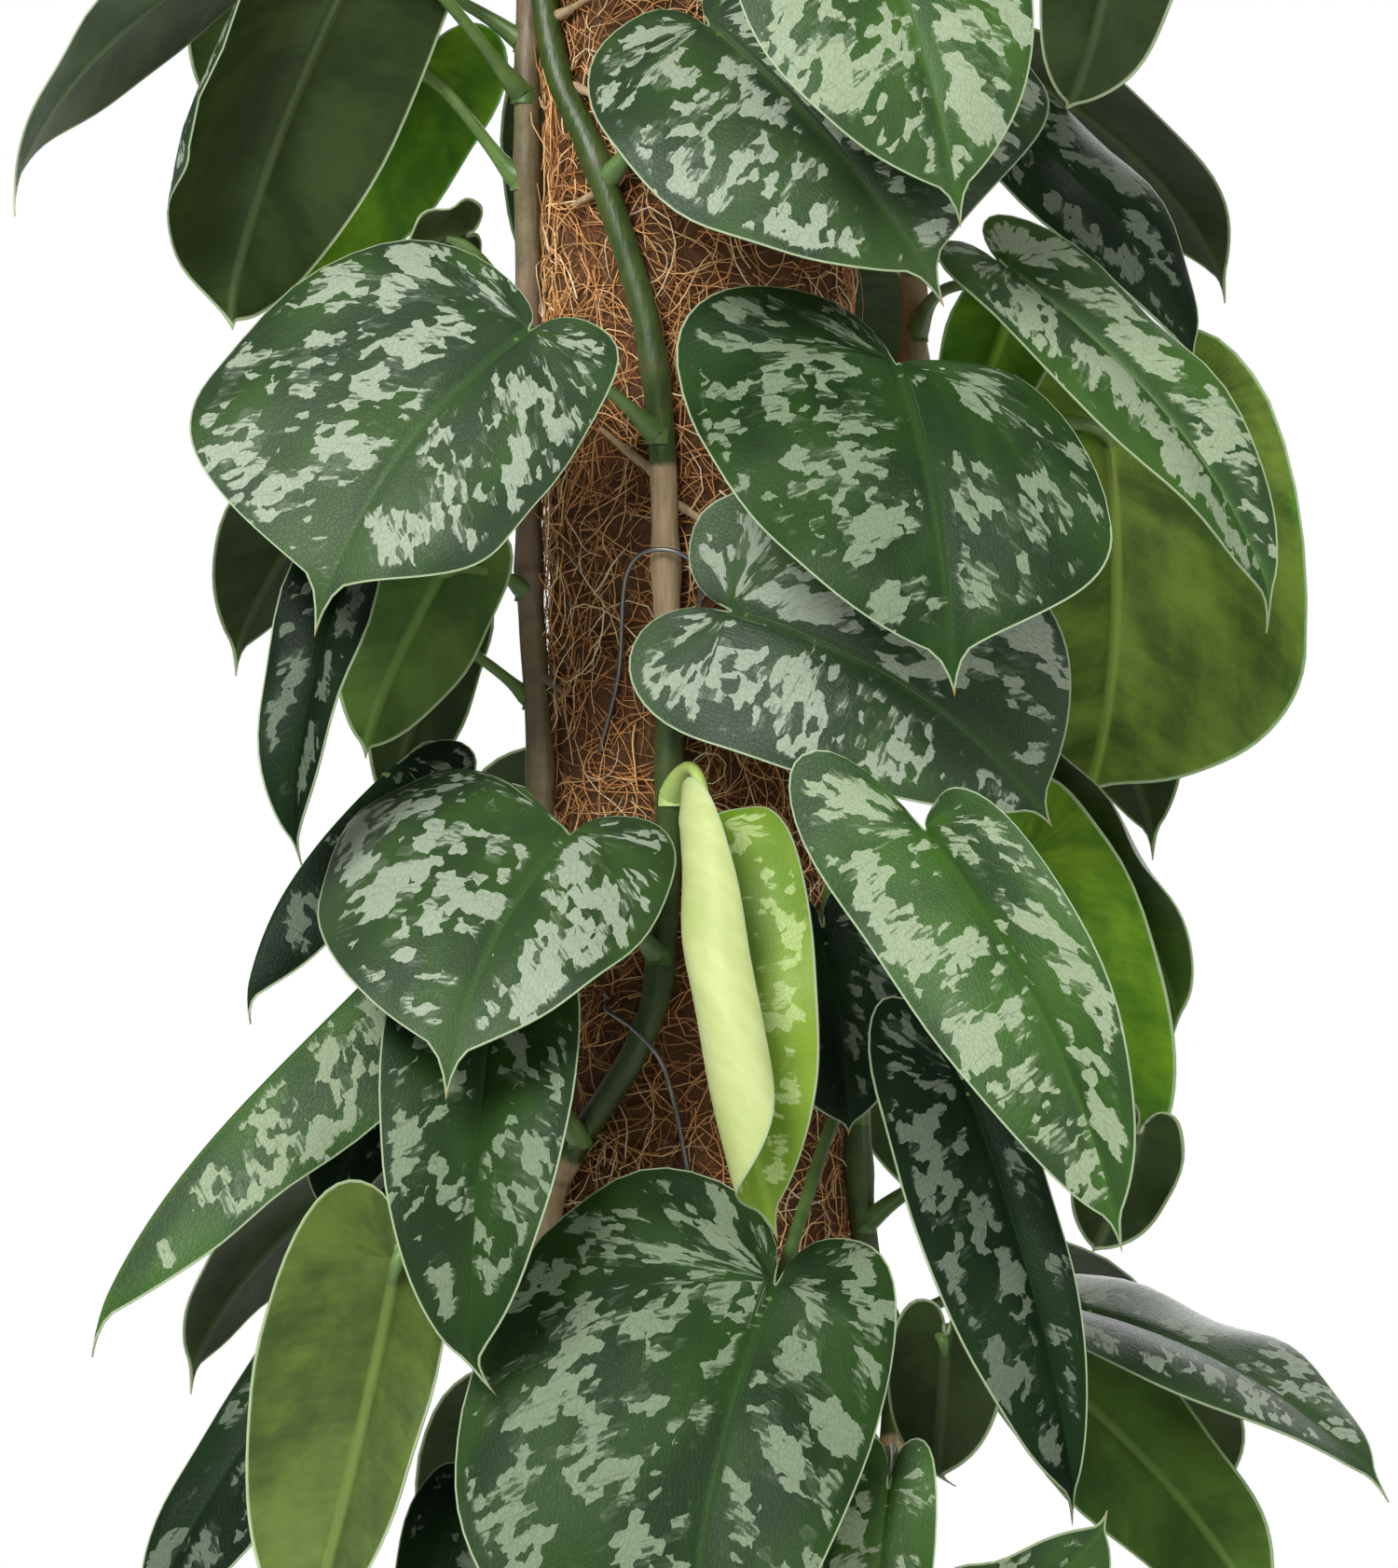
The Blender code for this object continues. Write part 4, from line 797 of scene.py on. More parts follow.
def leaf_below(name, dark, light, glow=0.0, sheen=0.6):
    """The under side, mottled, with paler veins. glow is how much light comes through the leaf."""
    mat, shader = new_material(name, dark, sheen)
    flat = carried(mat, "vein", "Vector")
    out = add_node(mat, "SeparateXYZ", {0: flat}).outputs[1]
    cloud = noise(mat, 1, 4, stretch(mat, flat, (0.09, 0.045, 1)), Roughness=0.6)
    veins = noise(mat, 1, 2, stretch(mat, flat, (0.55, 0.02, 1)))
    fine = noise(mat, 2.6, 3, flat)
    mixed = maths(mat, "MULTIPLY_ADD", veins, 0.16, maths(mat, "MULTIPLY_ADD", fine, 0.1, cloud))
    colour = blend(mat, ramp(mat, mixed, 0.44, 0.84), dark, light)
    midrib = part_of(mat, ramp(mat, out, 1.8, 0.5), 0.7)
    colour = blend(mat, midrib, colour, tone(light, 1.35, 0.02))
    colour = blend(mat, ramp(mat, carried(mat, "margin"), 0.9, 0.3), colour, (0.36, 0.44, 0.25))
    connect(mat, colour, shader, "Base Color")
    if glow:
        shader.inputs["Subsurface Weight"].default_value = glow
        shader.inputs["Subsurface Radius"].default_value = (0.35, 1.0, 0.12)
        shader.inputs["Subsurface Scale"].default_value = 0.002
    shader.inputs["Specular IOR Level"].default_value = 0.2
    height = maths(mat, "MULTIPLY_ADD", veins, 0.8, part_of(mat, fine, 0.3))
    emboss(mat, shader, height, 0.35, 0.0006)
    return mat


ABOVE = {
    "blue": leaf_above("leaf_blue_green", (0.021, 0.043, 0.017), (0.033, 0.074, 0.016), SILVER, 0.3),
    # painted shade: a darkened copy of the leaf green, with its silver dimmed too, for the leaves that lie
    # in shade deep in the plant
    "dark": leaf_above("leaf_green_in_painted_shade", (0.005, 0.013, 0.005), (0.009, 0.026, 0.007), (0.12, 0.152, 0.105),
                       0.26, gloss=0.08),
    "fresh": leaf_above("leaf_fresh_green", (0.019, 0.05, 0.011), (0.036, 0.098, 0.011), (0.28, 0.35, 0.215),
                        0.32),
    "shade": leaf_above("leaf_shaded_green", (0.011, 0.029, 0.008), (0.02, 0.053, 0.009),
                        (0.18, 0.235, 0.145), 0.28, gloss=0.1),
    "silvery": leaf_above("leaf_silvery_green", (0.022, 0.054, 0.014), (0.04, 0.1, 0.014),
                          (0.28, 0.345, 0.22), 0.5),
    "young": leaf_above("leaf_young_green", (0.115, 0.225, 0.012), (0.19, 0.3, 0.028), (0.38, 0.5, 0.17),
                        0.3, 0.38, 0.15),
}
BELOW = {
    "grey": leaf_below("underside_grey", (0.06, 0.095, 0.045), (0.13, 0.18, 0.09), 0.0, 0.4),
    # painted shade: a darkened underside for leaves with no light coming through them
    "dark": leaf_below("underside_in_painted_shade", (0.018, 0.034, 0.007), (0.04, 0.065, 0.014), 0.1),
    "green": leaf_below("underside_green", (0.035, 0.08, 0.012), (0.085, 0.16, 0.022), 0.25),
    # painted light: lit and olive are brightened for the light that comes through the leaf; moss is a
    # darkened copy of olive, painted shade
    "lit": leaf_below("underside_lit", (0.05, 0.14, 0.005), (0.16, 0.3, 0.012), 0.4),
    "olive": leaf_below("underside_olive", (0.06, 0.1, 0.014), (0.19, 0.27, 0.036), 0.35),
    "shaded_olive": leaf_below("underside_shaded_olive", (0.036, 0.062, 0.01), (0.1, 0.15, 0.022), 0.2),
    "young": leaf_below("underside_young", (0.4, 0.47, 0.17), (0.5, 0.56, 0.25), 0.15, 0.4),
}
rim_mat, rim_shader = new_material("leaf_rim", (0.3, 0.37, 0.22), 0.5)
rim_colour = blend(rim_mat, noise(rim_mat, 300, 3), (0.16, 0.23, 0.1), (0.37, 0.43, 0.27))
connect(rim_mat, rim_colour, rim_shader, "Base Color")


def stalk_material(name, pale, deep):
    """The round stalk's smooth skin, mottled and finely grained."""
    mat, shader = new_material(name, pale, 0.42)
    place = place_on(mat)
    grain = noise(mat, 1300, 2, place)
    colour = blend(mat, ramp(mat, noise(mat, 90, 4, place), 0.3, 0.7), deep, pale)
    colour = blend(mat, part_of(mat, grain, 0.3), colour, tone(deep, 0.6))
    connect(mat, colour, shader, "Base Color")
    emboss(mat, shader, grain, 0.25, 0.0003)
    return mat


STALK = {
    "green": stalk_material("stalk_green", (0.17, 0.29, 0.07), (0.07, 0.14, 0.03)),
    "young": stalk_material("stalk_young", (0.5, 0.64, 0.2), (0.38, 0.54, 0.1)),
}


def leaf(name, stem, foot, sinus, tip, faces, left, right, above="blue", below="dark", **shape):
    """A leaf's own measures. foot is the height on its stem, sinus the notch that the stalk runs into,
    and faces the way the upper side looks. left and right are its half widths, named as seen from above
    the leaf with its tip pointing down, and so are the pairs fold, cup, lobes, widest and lean. rise,
    droop, sway, fold and cup are in degrees; lobes, widest and drip are shares of the length."""
    spec = dict(
        name=name, stem=stem, foot=foot, sinus=sinus, tip=tip, faces=faces, widths=(left, right),
        above=above, below=below, rise=18, droop=28, sway=0, fold=(12, 12), cup=(-30, -30), wave=1.5,
        lobes=(0.2, 0.2), widest=(0.24, 0.24), lean=(0, 0), drip=0.09, curl=(2, 0), bow=0.25,
        arrive=(0.8, 0.6),
    )
    spec.update(shape)
    return spec


LEAVES = [
    # the upper left group, mostly seen from below
    leaf("leaf_01", "left_stem", 672, (-95, -18, 677), (-156, -54, 608), (-0.65, 0.3, 0.7), 26, 24, "blue",
         "grey"),
    leaf("leaf_02", "left_stem", 640, (-76, -26, 672), (-106, -54, 581), (-0.35, 0.9, 0.25), 28, 42,
         cup=(-20, -95), fold=(12, 10), widest=(0.24, 0.72), drip=0.06),
    leaf("leaf_03", "left_stem", 620, (-65, 3, 648), (-100, -2, 586), (-0.3, 0.85, 0.4), 26, 32, "blue",
         "lit"),
    leaf("leaf_04", "left_stem", 585, (-53, -22, 606), (-68, -30, 598), (-0.3, 0.6, 0.7), 13, 11, "dark"),
    leaf("leaf_05", "front_stem", 560, (-38, -60, 582), (-86, -85, 513), (-0.2, -0.85, 0.45), 54, 33,
         sway=10, widest=(0.48, 0.52), lobes=(0.1, 0.14), cup=(-30, -45), droop=20, drip=0.14,
         lean=(-0.12, -0.1)),
    # the upper right group
    leaf("leaf_06", "right_stem", 655, (36, -77, 680), (58, -105, 602), (0.05, -0.8, 0.6), 36, 30,
         "silvery", drip=0.11),
    leaf("leaf_07", "front_stem", 618, (2, -52, 651), (55, -85, 586), (0, -0.85, 0.5), 39, 50,
         widest=(0.2, 0.66), wave=2.5, lobes=(0.16, 0.14), drip=0.12, lean=(-0.15, 0)),
    leaf("leaf_08", "right_stem", 666, (97, -5, 680), (84, -12, 633), (0.35, 0.85, 0.3), 17, 16, "dark"),
    leaf("leaf_09", "right_stem", 645, (60, -24, 640), (114, -30, 572), (0.5, -0.6, 0.5), 20, 20, "dark"),
    leaf("leaf_10", "right_stem", 585, (69, -60, 596), (129, -84, 514), (0.45, -0.6, 0.6), 20, 17,
         "silvery", fold=(12, 34), curl=(4, 0), lobes=(0.12, 0.12)),
    leaf("leaf_11", "right_stem", 550, (94, -2, 563), (88, -22, 476), (0.1, 0.95, 0.2), 45, 38, "blue",
         "olive", sway=12, fold=(8, 8), widest=(0.55, 0.3), droop=45),
    leaf("leaf_12", "right_stem", 530, (44, -72, 574), (56, -108, 499), (-0.1, -0.85, 0.5), 48, 38, "shade",
         widest=(0.16, 0.56), lobes=(0.26, -0.06), sway=-8, drip=0.12, lean=(0.5, -0.3)),
    # the middle, over the pole
    leaf("leaf_13", "front_stem", 500, (7, -54, 519), (80, -62, 470), (0.05, -0.95, 0.25), 32, 37, sway=-14,
         widest=(0.1, 0.5), cup=(-20, -20), wave=1, lobes=(0.2, 0.16)),
    leaf("leaf_14", "front_stem", 478, (2, -62, 471), (18, -86, 378), (0.1, -1, 0.05), 30, 23, "young",
         "young", fold=(10, -5), cup=(215, 40), lobes=(0.05, 0.05), wave=0, sway=12, widest=(0.6, 0.32),
         bow=0.8, arrive=(1, 0.1)),
    leaf("leaf_15", "right_stem", 440, (50, -88, 470), (93, -115, 377), (0.2, -0.95, 0.0), 26, 19, "fresh",
         sway=-8, fold=(4, 45), cup=(-20, -20), lobes=(0.3, 0.02), widest=(0.14, 0.3), arrive=(0.1, 1)),
    leaf("leaf_16", "front_stem", 442, (-29, -60, 469), (-56, -104, 411), (0, -0.65, 0.75), 58, 30, sway=8,
         widest=(0.24, 0.24), lobes=(-0.02, 0.16), cup=(-60, -35), droop=24, drip=0.14, lean=(0.45, 0)),
    leaf("leaf_17", "left_stem", 525, (-57, -19, 532), (-77, -23, 485), (-0.3, 0.9, 0.2), 17, 17, "blue",
         "green"),
    leaf("leaf_18", "left_stem", 553, (-77, -50, 533), (-90, -64, 461), (-0.45, -0.8, 0.1), 13, 17, "dark",
         fold=(35, 45)),
    leaf("leaf_19", "left_stem", 476, (-69, -20, 485), (-103, -46, 426), (-0.65, -0.45, 0.6), 22, 20,
         "dark", fold=(-35, -45), cup=(-30, -20)),
    leaf("leaf_20", "left_stem", 500, (-58, -3, 516), (-71, -2, 470), (-0.3, 0.9, 0.1), 12, 12, "dark"),
    leaf("leaf_21", "left_stem", 430, (-66, -34, 446), (-138, -60, 352), (-0.6, -0.3, 0.7), 24, 26, "fresh",
         "green", fold=(-35, -40), cup=(-20, -20), rise=5, droop=20),
    leaf("leaf_22", "front_stem", 400, (-46, -72, 430), (-51, -98, 346), (-0.1, -0.95, 0.2), 24, 22,
         "shade", fold=(30, 30), curl=(-3, -7), widest=(0.14, 0.14)),
    # the lower left group
    leaf("leaf_23", "left_stem", 365, (-67, -78, 374), (-89, -96, 284), (0.15, 0.95, 0.2), 14, 27, "blue",
         "shaded_olive", lobes=(0.14, 0.16)),
    leaf("leaf_24", "left_stem", 350, (-75, -40, 371), (-128, -50, 280), (-0.4, -0.85, 0.4), 12, 22, "dark",
         rise=5),
    leaf("leaf_25", "left_stem", 405, (-72, -12, 410), (-86, -18, 380), (-0.3, -0.9, 0.2), 12, 12, "dark"),
    leaf("leaf_26", "right_stem", 405, (17, -80, 369), (-3, -116, 264), (-0.1, -0.95, 0.2), 60, 32, "shade",
         sway=8, widest=(0.38, 0.24), lobes=(0.18, 0.14)),
    # the lower right group
    leaf("leaf_27", "right_stem", 420, (59, -58, 414), (84, -74, 314), (0.25, -0.9, 0.2), 26, 11, "dark",
         fold=(30, 40)),
    leaf("leaf_28", "right_stem", 350, (85, -30, 361), (156, -60, 320), (0.15, -0.4, 0.9), 20, 21, "blue",
         "green", droop=20),
    leaf("leaf_29", "right_stem", 335, (82, -14, 345), (130, -44, 283), (0.3, 0.8, 0.4), 20, 22, "blue",
         "green"),
    leaf("leaf_30", "right_stem", 380, (99, -58, 402), (88, -62, 374), (0.3, 0.9, 0.1), 12, 13, "dark"),
    leaf("leaf_31", "right_stem", 455, (72, -36, 462), (97, -52, 382), (0.3, 0.9, 0.1), 24, 22, "fresh",
         "lit"),
    leaf("leaf_32", "right_stem", 480, (79, -22, 478), (109, -36, 422), (0.6, 0.7, 0.3), 22, 22, "dark",
         "green", cup=(-70, -20)),
    leaf("leaf_33", "right_stem", 344, (56, -42, 356), (53, -50, 322), (0.1, 0.95, 0.2), 14, 13, "dark",
         curl=(0, 5)),
    leaf("leaf_34", "right_stem", 320, (42, -84, 324), (37, -92, 266), (-0.1, -0.9, 0.4), 13, 12, "fresh"),
    leaf("leaf_35", "right_stem", 300, (58, -76, 292), (91, -96, 319), (0.3, -0.7, -0.3), 18, 16, "fresh",
         "green"),
    leaf("leaf_36", "left_stem", 330, (-52, -50, 318), (-62, -56, 278), (-0.1, -0.95, 0.2), 13, 13, "dark"),
    leaf("leaf_37", "right_stem", 470, (28, -45, 448), (34, -50, 400), (0.1, -0.95, 0.1), 19, 18, "dark"),
    leaf("leaf_38", "right_stem", 600, (72, -26, 590), (58, -30, 556), (0.2, 0.95, 0.1), 13, 13, "dark",
         "lit"),
    leaf("leaf_39", "left_stem", 652, (-97, 12, 672), (-114, 4, 636), (-0.3, 0.85, 0.3), 14, 14, "dark"),
    # above and below the middle stretch
    leaf("leaf_40", "front_stem", 686, (-22, -52, 742), (-48, -92, 692), (-0.2, -0.7, 0.6), 30, 28),
    leaf("leaf_41", "right_stem", 700, (30, -48, 752), (70, -84, 706), (0.2, -0.7, 0.6), 28, 30),
    leaf("leaf_42", "left_stem", 695, (-62, -8, 734), (-124, -26, 696), (-0.5, -0.3, 0.8), 26, 28),
    leaf("leaf_43", "front_stem", 265, (-58, -68, 264), (-98, -96, 204), (-0.35, -0.8, 0.45), 28, 26),
    leaf("leaf_44", "front_stem", 230, (-14, -72, 250), (-28, -114, 196), (-0.1, -0.75, 0.6), 26, 28),
    leaf("leaf_45", "right_stem", 262, (60, -56, 272), (104, -92, 210), (0.35, -0.75, 0.5), 26, 26),
    leaf("leaf_46", "right_stem", 228, (82, -8, 250), (138, -26, 200), (0.6, -0.2, 0.75), 26, 25),
    # round the back
    leaf("back_01", "back_left_stem", 690, (-48, 62, 728), (-86, 96, 672), (-0.5, 0.6, 0.6), 26, 28),
    leaf("back_02", "back_left_stem", 614, (-22, 74, 646), (-16, 114, 570), (-0.1, 0.85, 0.5), 30, 27),
    leaf("back_03", "back_left_stem", 540, (-64, 54, 570), (-112, 76, 506), (-0.6, 0.6, 0.5), 27, 30),
    leaf("back_04", "back_left_stem", 446, (-30, 72, 476), (-46, 114, 402), (-0.2, 0.85, 0.5), 31, 28),
    leaf("back_05", "back_left_stem", 368, (-68, 46, 396), (-122, 58, 336), (-0.6, 0.45, 0.6), 28, 24),
    leaf("back_06", "back_left_stem", 296, (-36, 70, 330), (-40, 114, 252), (-0.15, 0.85, 0.5), 27, 31),
    leaf("back_07", "back_left_stem", 236, (-68, 54, 262), (-114, 80, 206), (-0.6, 0.5, 0.6), 26, 26),
    leaf("back_08", "back_right_stem", 684, (38, 66, 720), (62, 104, 656), (0.4, 0.7, 0.6), 29, 26),
    leaf("back_09", "back_right_stem", 622, (72, 44, 650), (126, 54, 594), (0.6, 0.45, 0.6), 24, 28),
    leaf("back_10", "back_right_stem", 560, (26, 76, 596), (32, 118, 520), (0.1, 0.85, 0.5), 28, 31),
    leaf("back_11", "back_right_stem", 498, (68, 56, 530), (110, 84, 462), (0.55, 0.65, 0.5), 27, 25),
    leaf("back_12", "back_right_stem", 412, (42, 72, 442), (60, 112, 368), (0.3, 0.8, 0.5), 30, 28),
    leaf("back_13", "back_right_stem", 340, (74, 44, 368), (128, 58, 310), (0.6, 0.5, 0.6), 27, 27),
    leaf("back_14", "back_right_stem", 286, (22, 74, 320), (20, 116, 250), (0.05, 0.8, 0.55), 26, 28),
    leaf("back_15", "back_right_stem", 232, (66, 56, 262), (108, 80, 204), (0.55, 0.6, 0.6), 25, 27),
]


def swept_curve(a, b, c, d, count):
    """Points along a curve from a to d that sets out towards b and comes in from c."""
    t = np.linspace(0, 1, count)[:, None]
    a, b, c, d = (np.asarray(p, float) for p in (a, b, c, d))
    return a * (1 - t) ** 3 + 3 * b * t * (1 - t) ** 2 + 3 * c * t**2 * (1 - t) + d * t**3


def half_outline(lobe, widest, drip, count=240):
    """One half of the flat blade, from the stalk round the lobe to the tip: shares of half width and
    of length, with the place along the curve. drip is the share of the length in the drawn-out tip."""
    neck = 1 - drip
    arcs = [
        ((0, 0), (0.03, -0.6 * lobe), (0.18, -lobe), (0.45, -lobe)),
        ((0.45, -lobe), (0.78, -lobe), (1, widest - 0.6 * (widest + lobe)), (1, widest)),
        ((1, widest), (1, widest + 0.58 * (neck - widest)), (0.47, neck - 0.08), (0.11, neck)),
        ((0.11, neck), (0.05, neck + 0.18 * drip), (0.02, neck + 0.5 * drip), (0, 1)),
    ]
    points = []
    places = []
    start = 0
    for arc, share in zip(arcs, (0.2, 0.25, 0.45, 0.1)):
        steps = int(count * share)
        points.append(swept_curve(*arc, steps)[: None if arc is arcs[-1] else -1])
        places.append(np.linspace(start, start + share, steps)[: None if arc is arcs[-1] else -1])
        start += share
    points = np.vstack(points)
    places = np.concatenate(places)
    return lambda t: np.stack([np.interp(t, places, points[:, 0]), np.interp(t, places, points[:, 1])], -1)


def unit(v):
    v = np.asarray(v, float)
    return v / np.linalg.norm(v)


def midrib_frame(spec, count=160):
    """The midrib's curve with its own directions: points, ahead, up, left, and length so far."""
    base, tip = np.array(spec["sinus"], float), np.array(spec["tip"], float)
    reach = np.linalg.norm(tip - base)
    chord = (tip - base) / reach
    up = np.array(spec["faces"], float)
    up = unit(up - chord * up.dot(chord))
    left = np.cross(chord, up)
    rise, droop, sway = (math.radians(spec[key]) for key in ("rise", "droop", "sway"))
    first = unit(chord + up * math.tan(rise) + left * math.tan(sway))
    final = unit(chord - up * math.tan(droop) - left * math.tan(sway))
    curve = swept_curve(base, base + first * reach * 0.36, tip - final * reach * 0.36, tip, count)
    ahead = np.gradient(curve, axis=0)
    ahead /= np.linalg.norm(ahead, axis=1)[:, None]
    ups = up - ahead * (ahead @ up)[:, None]
    ups /= np.linalg.norm(ups, axis=1)[:, None]
    lefts = np.cross(ahead, ups)
    so_far = np.concatenate([[0], np.cumsum(np.linalg.norm(np.diff(curve, axis=0), axis=1))])
    return curve, ahead, ups, lefts, so_far


RIM_RIPPLES = 1.7


def blade_surface(spec):
    """A function from flat blade coordinates, x to the left and y along the midrib, to space."""
    curve, ahead, ups, lefts, so_far = midrib_frame(spec)
    length = so_far[-1]

    def at(values, y):
        return np.stack([np.interp(y, so_far, values[:, axis]) for axis in range(3)], -1)

    def place(x, y):
        side = (x < 0).astype(int)
        width = np.array(spec["widths"])[side]
        fold = np.radians(np.array(spec["fold"], float))[side]
        bend = np.radians(np.array(spec["cup"], float))[side] / width
        bend = np.where(np.abs(bend) < 1e-6, 1e-6, bend)
        out = np.abs(x)
        y = y - np.array(spec["lean"])[side] * out * (1 - np.clip(y / length, 0, 1))
        across = (np.sin(fold + bend * out) - np.sin(fold)) / bend
        lift = (np.cos(fold) - np.cos(fold + bend * out)) / bend
        share = y / length
        ripple = np.sin(2 * math.pi * (RIM_RIPPLES * share + 0.3 * side))
        lift = lift + spec["wave"] * (out / width) ** 2 * ripple
        hook = np.clip((share - 0.86) / 0.14, 0, 1) ** 2
        lift = lift - spec["curl"][0] * hook
        across = np.where(side == 1, -across, across) + spec["curl"][1] * hook
        behind = np.minimum(y, 0)[..., None] * ahead[0]
        return at(curve, y) + behind + at(lefts, y) * across[..., None] + at(ups, y) * lift[..., None]

    return place, length


BLADE = 0.66
MIDRIB = 1.1
RIM_SPAN = 2.5
FIRST_VEINS = 0.2
NECK_VEINS = (0.9, 0.935, 0.965, 0.985)


def blade_mesh(spec, lines, steps, seed):
    """The closed blade, split along its side veins: points, faces with the material of each, and at each
    point the vein coordinates and the ways to the margin and to the tip."""
    place, length = blade_surface(spec)
    draw = np.random.default_rng(seed)
    lobe_veins = np.linspace(0.025, FIRST_VEINS, lines // 5, endpoint=False)
    side_veins = np.linspace(FIRST_VEINS, NECK_VEINS[0], lines - lines // 5, endpoint=False)
    spots = np.concatenate([lobe_veins, side_veins, NECK_VEINS])
    halves = [half_outline(*half, spec["drip"]) for half in zip(spec["lobes"], spec["widest"])]
    ends = [half(spots) * (width, length) for half, width in zip(halves, spec["widths"])]
    middle = (ends[0] + ends[1]) / 2
    starts = middle[:, 1] - 0.5 * middle[:, 0]
    starts = np.where(starts > 0.05 * length, starts, 0.0)
    share = np.linspace(0, 1, steps + 1) ** 1.15
    flat = []
    vein = []
    rows = []
    spine = {}
    for side, way in ((0, 1), (1, -1)):
        gaps = np.linalg.norm(np.diff(ends[side], axis=0, prepend=ends[side][:1] * 0), axis=1)
        order = np.cumsum(gaps) * 0.62
        side_rows = []
        for i, (end, start) in enumerate(zip(ends[side], starts)):
            bow = (0.52 * end[0], start + 0.36 * (end[1] - start))
            x = 2 * share * (1 - share) * bow[0] + share**2 * end[0]
            y = (1 - share) ** 2 * start + 2 * share * (1 - share) * bow[1] + share**2 * end[1]
            reach = math.hypot(end[0], end[1] - start)
            first = spine.get(start)
            if first is None:
                first = len(flat)
                spine[start] = first
                flat.append((0.0, start))
                vein.append((order[i], 0.0, seed * 7.3))
            row = [first] + list(range(len(flat), len(flat) + steps))
            flat += list(zip(way * x[1:], y[1:]))
            vein += [(order[i] + 150 * side, w * reach, seed * 7.3) for w in share[1:]]
            side_rows.append(row)
        rows.append(side_rows)
    tip = len(flat)
    flat.append((0.0, length))
    vein.append((order[-1] + 3, 0.0, seed * 7.3))
    flat = np.array(flat)
    vein = np.array(vein)
    quads = []
    rims = []
    for side_rows, way in zip(rows, (1, -1)):
        ladder = side_rows + [[tip] * (steps + 1)]
        for low, high in zip(ladder, ladder[1:]):
            for j in range(steps):
                corners = [low[j], low[j + 1], high[j + 1], high[j]]
                kept = [c for n, c in enumerate(corners) if c != corners[n - 1]]
                if len(kept) > 2:
                    quads.append(kept if way == 1 else kept[::-1])
        rims.append(side_rows[0][1:] + [row[-1] for row in side_rows[1:]])
    base = spine[0.0]
    rim = [base] + rims[0] + [tip] + rims[1][::-1]
    x, y = flat[:, 0], flat[:, 1]
    edge = flat[rim]
    margin = np.min(np.linalg.norm(flat[:, None, :] - edge[None, :, :], axis=2), axis=1)
    nudge = 0.4
    normal = np.cross(place(x + nudge, y) - place(x - nudge, y), place(x, y + nudge) - place(x, y - nudge))
    normal /= np.linalg.norm(normal, axis=1)[:, None]
    centre = place(x, y)
    phases = draw.uniform(0, 2 * math.pi, 6)
    swell = 0.45 * np.sin(vein[:, 0] / 4.1 + phases[0]) * np.sin(vein[:, 1] / 6.5 + phases[1])
    swell += 0.5 * np.sin(x / 8.3 + y / 13 + phases[2]) * np.sin(y / 9.7 - x / 15 + phases[3])
    swell += 0.35 * (np.abs(x) / max(spec["widths"])) ** 2 * np.sin(y / 5.2 + phases[4] + np.sign(x))
    swell *= np.clip(np.abs(x) / 6, 0, 1) * min(1, max(spec["widths"]) / 26)
    centre = centre + normal * swell[:, None]
    thin = BLADE * (0.55 + 0.45 * np.clip(margin / RIM_SPAN, 0, 1)) / 2
    taper = np.clip(1 - y / length, 0.12, 1)
    rib = MIDRIB * taper * np.exp(-((x / (1.0 + 0.5 * taper)) ** 2))
    groove = 0.5 * taper * np.exp(-((x / 0.9) ** 2))
    upper = centre + normal * (thin - groove)[:, None]
    lower = centre - normal * (thin + rib)[:, None]
    count = len(flat)
    faces = quads + [[count + i for i in face[::-1]] for face in quads]
    looks = [0] * len(quads) + [1] * len(quads)
    for a, b in zip(rim, rim[1:] + rim[:1]):
        faces.append([b, a, a + count, b + count])
        looks.append(2)
    to_tip = np.linalg.norm(flat - flat[tip], axis=1)
    both_sides = [np.vstack([vein] * 2), np.tile(margin, 2), np.tile(to_tip, 2)]
    return np.vstack([upper, lower]), faces, looks, both_sides


STALK_RADIUS = 1.55
STALK_SIDES = 12


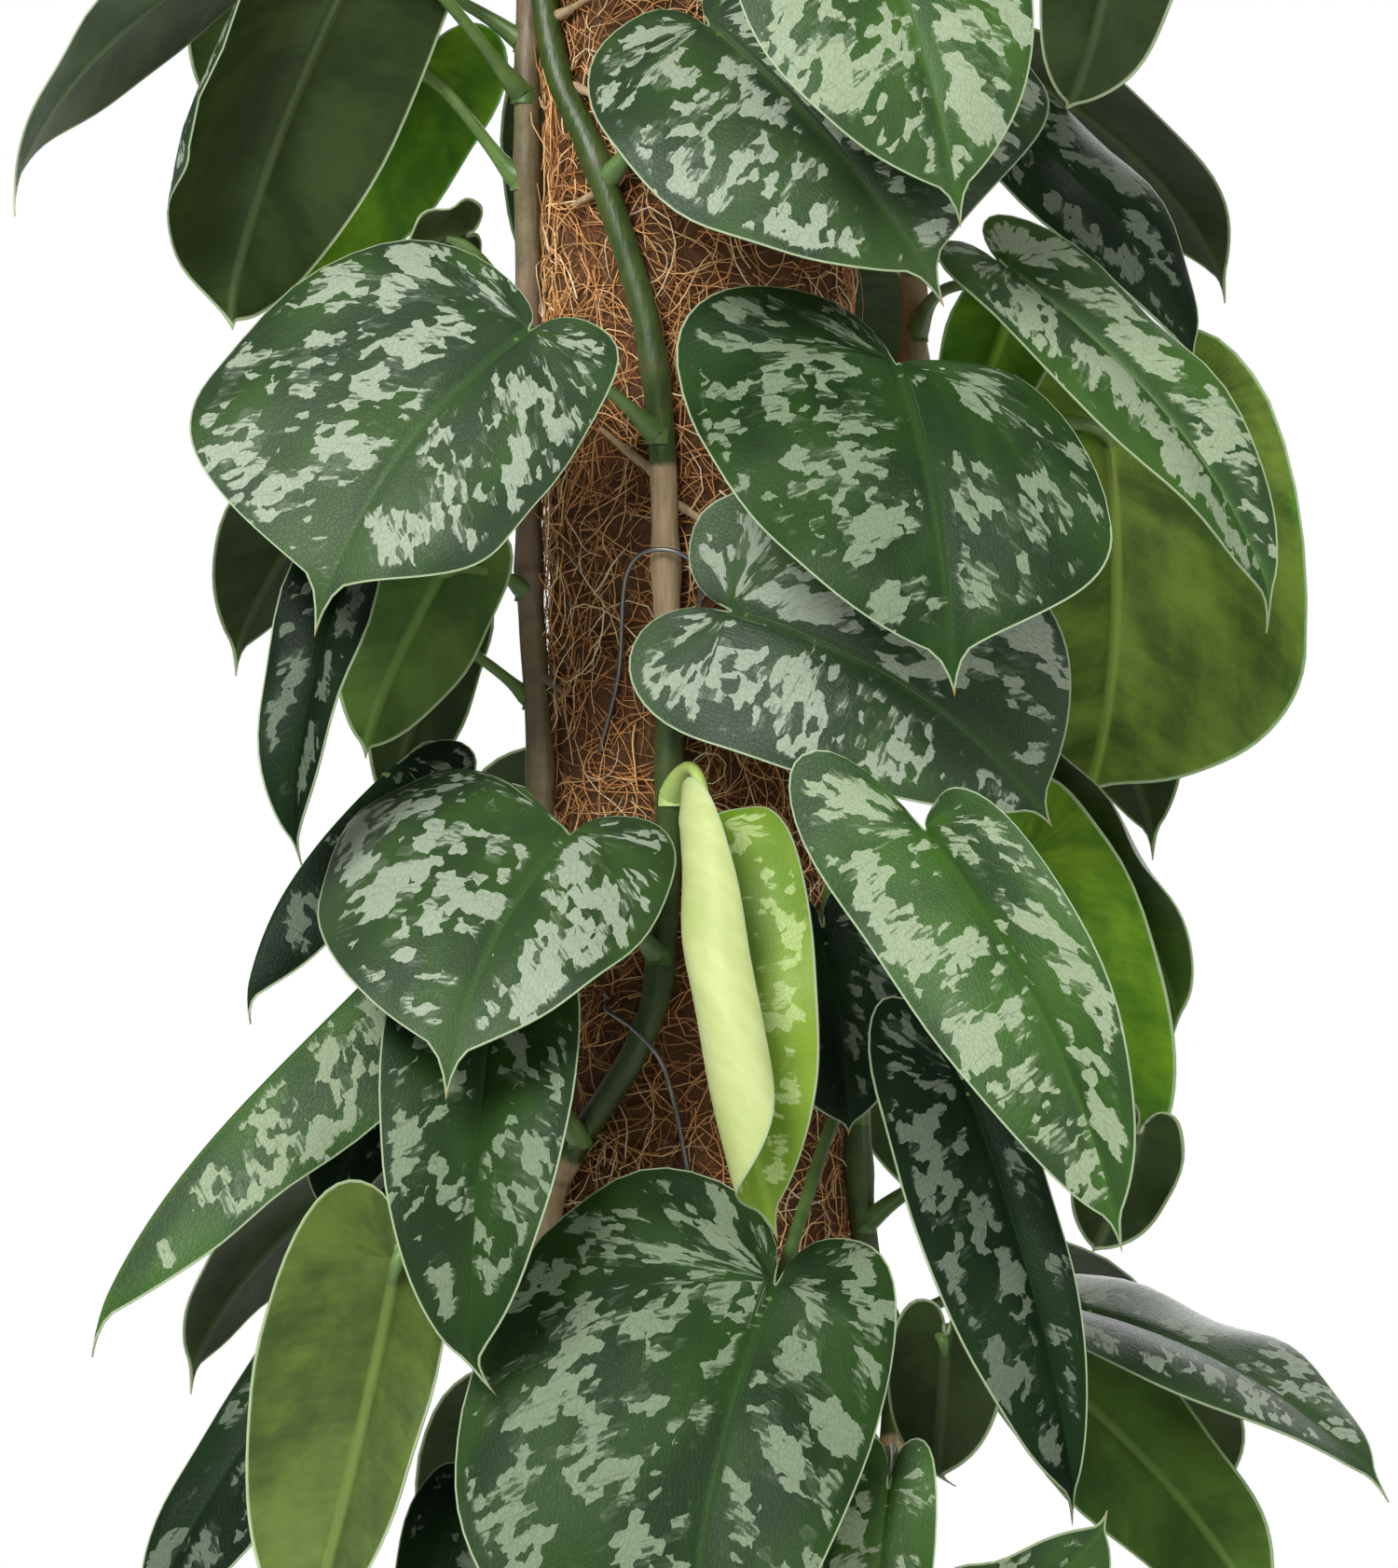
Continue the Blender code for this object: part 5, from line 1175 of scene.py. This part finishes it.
def stalk_mesh(spec, first):
    """The round stalk: it clasps the stem with a broad foot, bows up, and runs into the midrib."""
    _, ahead, ups, _, _ = midrib_frame(spec)
    sinus = np.array(spec["sinus"], float)
    start, girth = on_stem(spec["stem"], spec["foot"])
    out = unit((sinus - start) * (1, 1, 0))
    start = start + out * girth * 0.3
    finish = sinus + ahead[0] * 5 - ups[0] * 0.6
    reach = np.linalg.norm(finish - start)
    arrive = unit(ahead[0] * spec["arrive"][0] + ups[0] * spec["arrive"][1])
    leave = unit(out + np.array((0, 0, 0.9)))
    near = start + out * 1.5
    curve = swept_curve(near, near + leave * reach * spec["bow"], finish - arrive * reach * 0.3, finish, 26)
    path = np.vstack([start - (0, 0, 3), start, curve])
    along = np.linspace(0, 1, len(path))
    foot_flare = 1.7 * np.exp(-((along / 0.19) ** 2))
    knee = 0.25 * np.exp(-(((along - 0.86) / 0.07) ** 2))
    radii = STALK_RADIUS + foot_flare + knee
    radii *= np.where(along > 0.94, 0.8, 1.0) * min(1.0, 0.7 + max(spec["widths"]) / 90)
    verts, faces = tube(path, radii, STALK_SIDES, 0.9)
    return verts, [[first + i for i in face] for face in faces]


FAR_FROM_RIM = 10.0
FAR_FROM_TIP = 50.0
# Side veins in a half blade, and steps out along each.
YOUNG_LEAF = (64, 36)
BROAD_LEAF = (34, 16)
SMALL_LEAF = (26, 12)
BACK_LEAF = (28, 12)
BROAD_FROM = 20


def leaf_piece(spec, stands_for, lines, steps, seed, slot):
    """One leaf: its blade and its stalk."""
    points, faces, looks, (vein, margin, to_tip) = blade_mesh(spec, lines, steps, seed)
    stalk, stalk_faces = stalk_mesh(spec, len(points))
    spare = len(stalk)
    verts = np.vstack([points, stalk])
    faces += stalk_faces
    looks += [3] * len(stalk_faces)
    skin = STALK["young" if spec["above"] == "young" else "green"]
    mats = [ABOVE[spec["above"]], BELOW[spec["below"]], rim_mat, skin]
    made = piece(spec["name"] + "_blade", verts, faces, mats, stands_for, slot)
    made.data.polygons.foreach_set("material_index", looks)
    carry(made, "vein", np.vstack([vein, np.zeros((spare, 3))]), "FLOAT_VECTOR")
    carry(made, "margin", np.append(margin, [FAR_FROM_RIM] * spare))
    carry(made, "to_tip", np.append(to_tip, [FAR_FROM_TIP] * spare))


for seed, spec in enumerate(LEAVES):
    if spec["stem"].startswith("back"):
        continue
    if spec["above"] == "young":
        leaf_piece(spec, spec["name"], *YOUNG_LEAF, seed, "leaf_young")
    elif max(spec["widths"]) > BROAD_FROM:
        leaf_piece(spec, spec["name"], *BROAD_LEAF, seed, "leaf")
    else:
        leaf_piece(spec, spec["name"], *SMALL_LEAF, seed, "leaf")

# The two stems that climb the back of the pole: the same green runners, each with its own leaves. Runner
# and leaves together stand for one node, as each leafy stem is one solid.
for stem in ("back_left_stem", "back_right_stem"):
    stem_piece(stem, stem_green, "stem_green")
    for seed, spec in enumerate(LEAVES):
        if spec["stem"] == stem:
            leaf_piece(spec, stem, *BACK_LEAF, seed, "leaf")
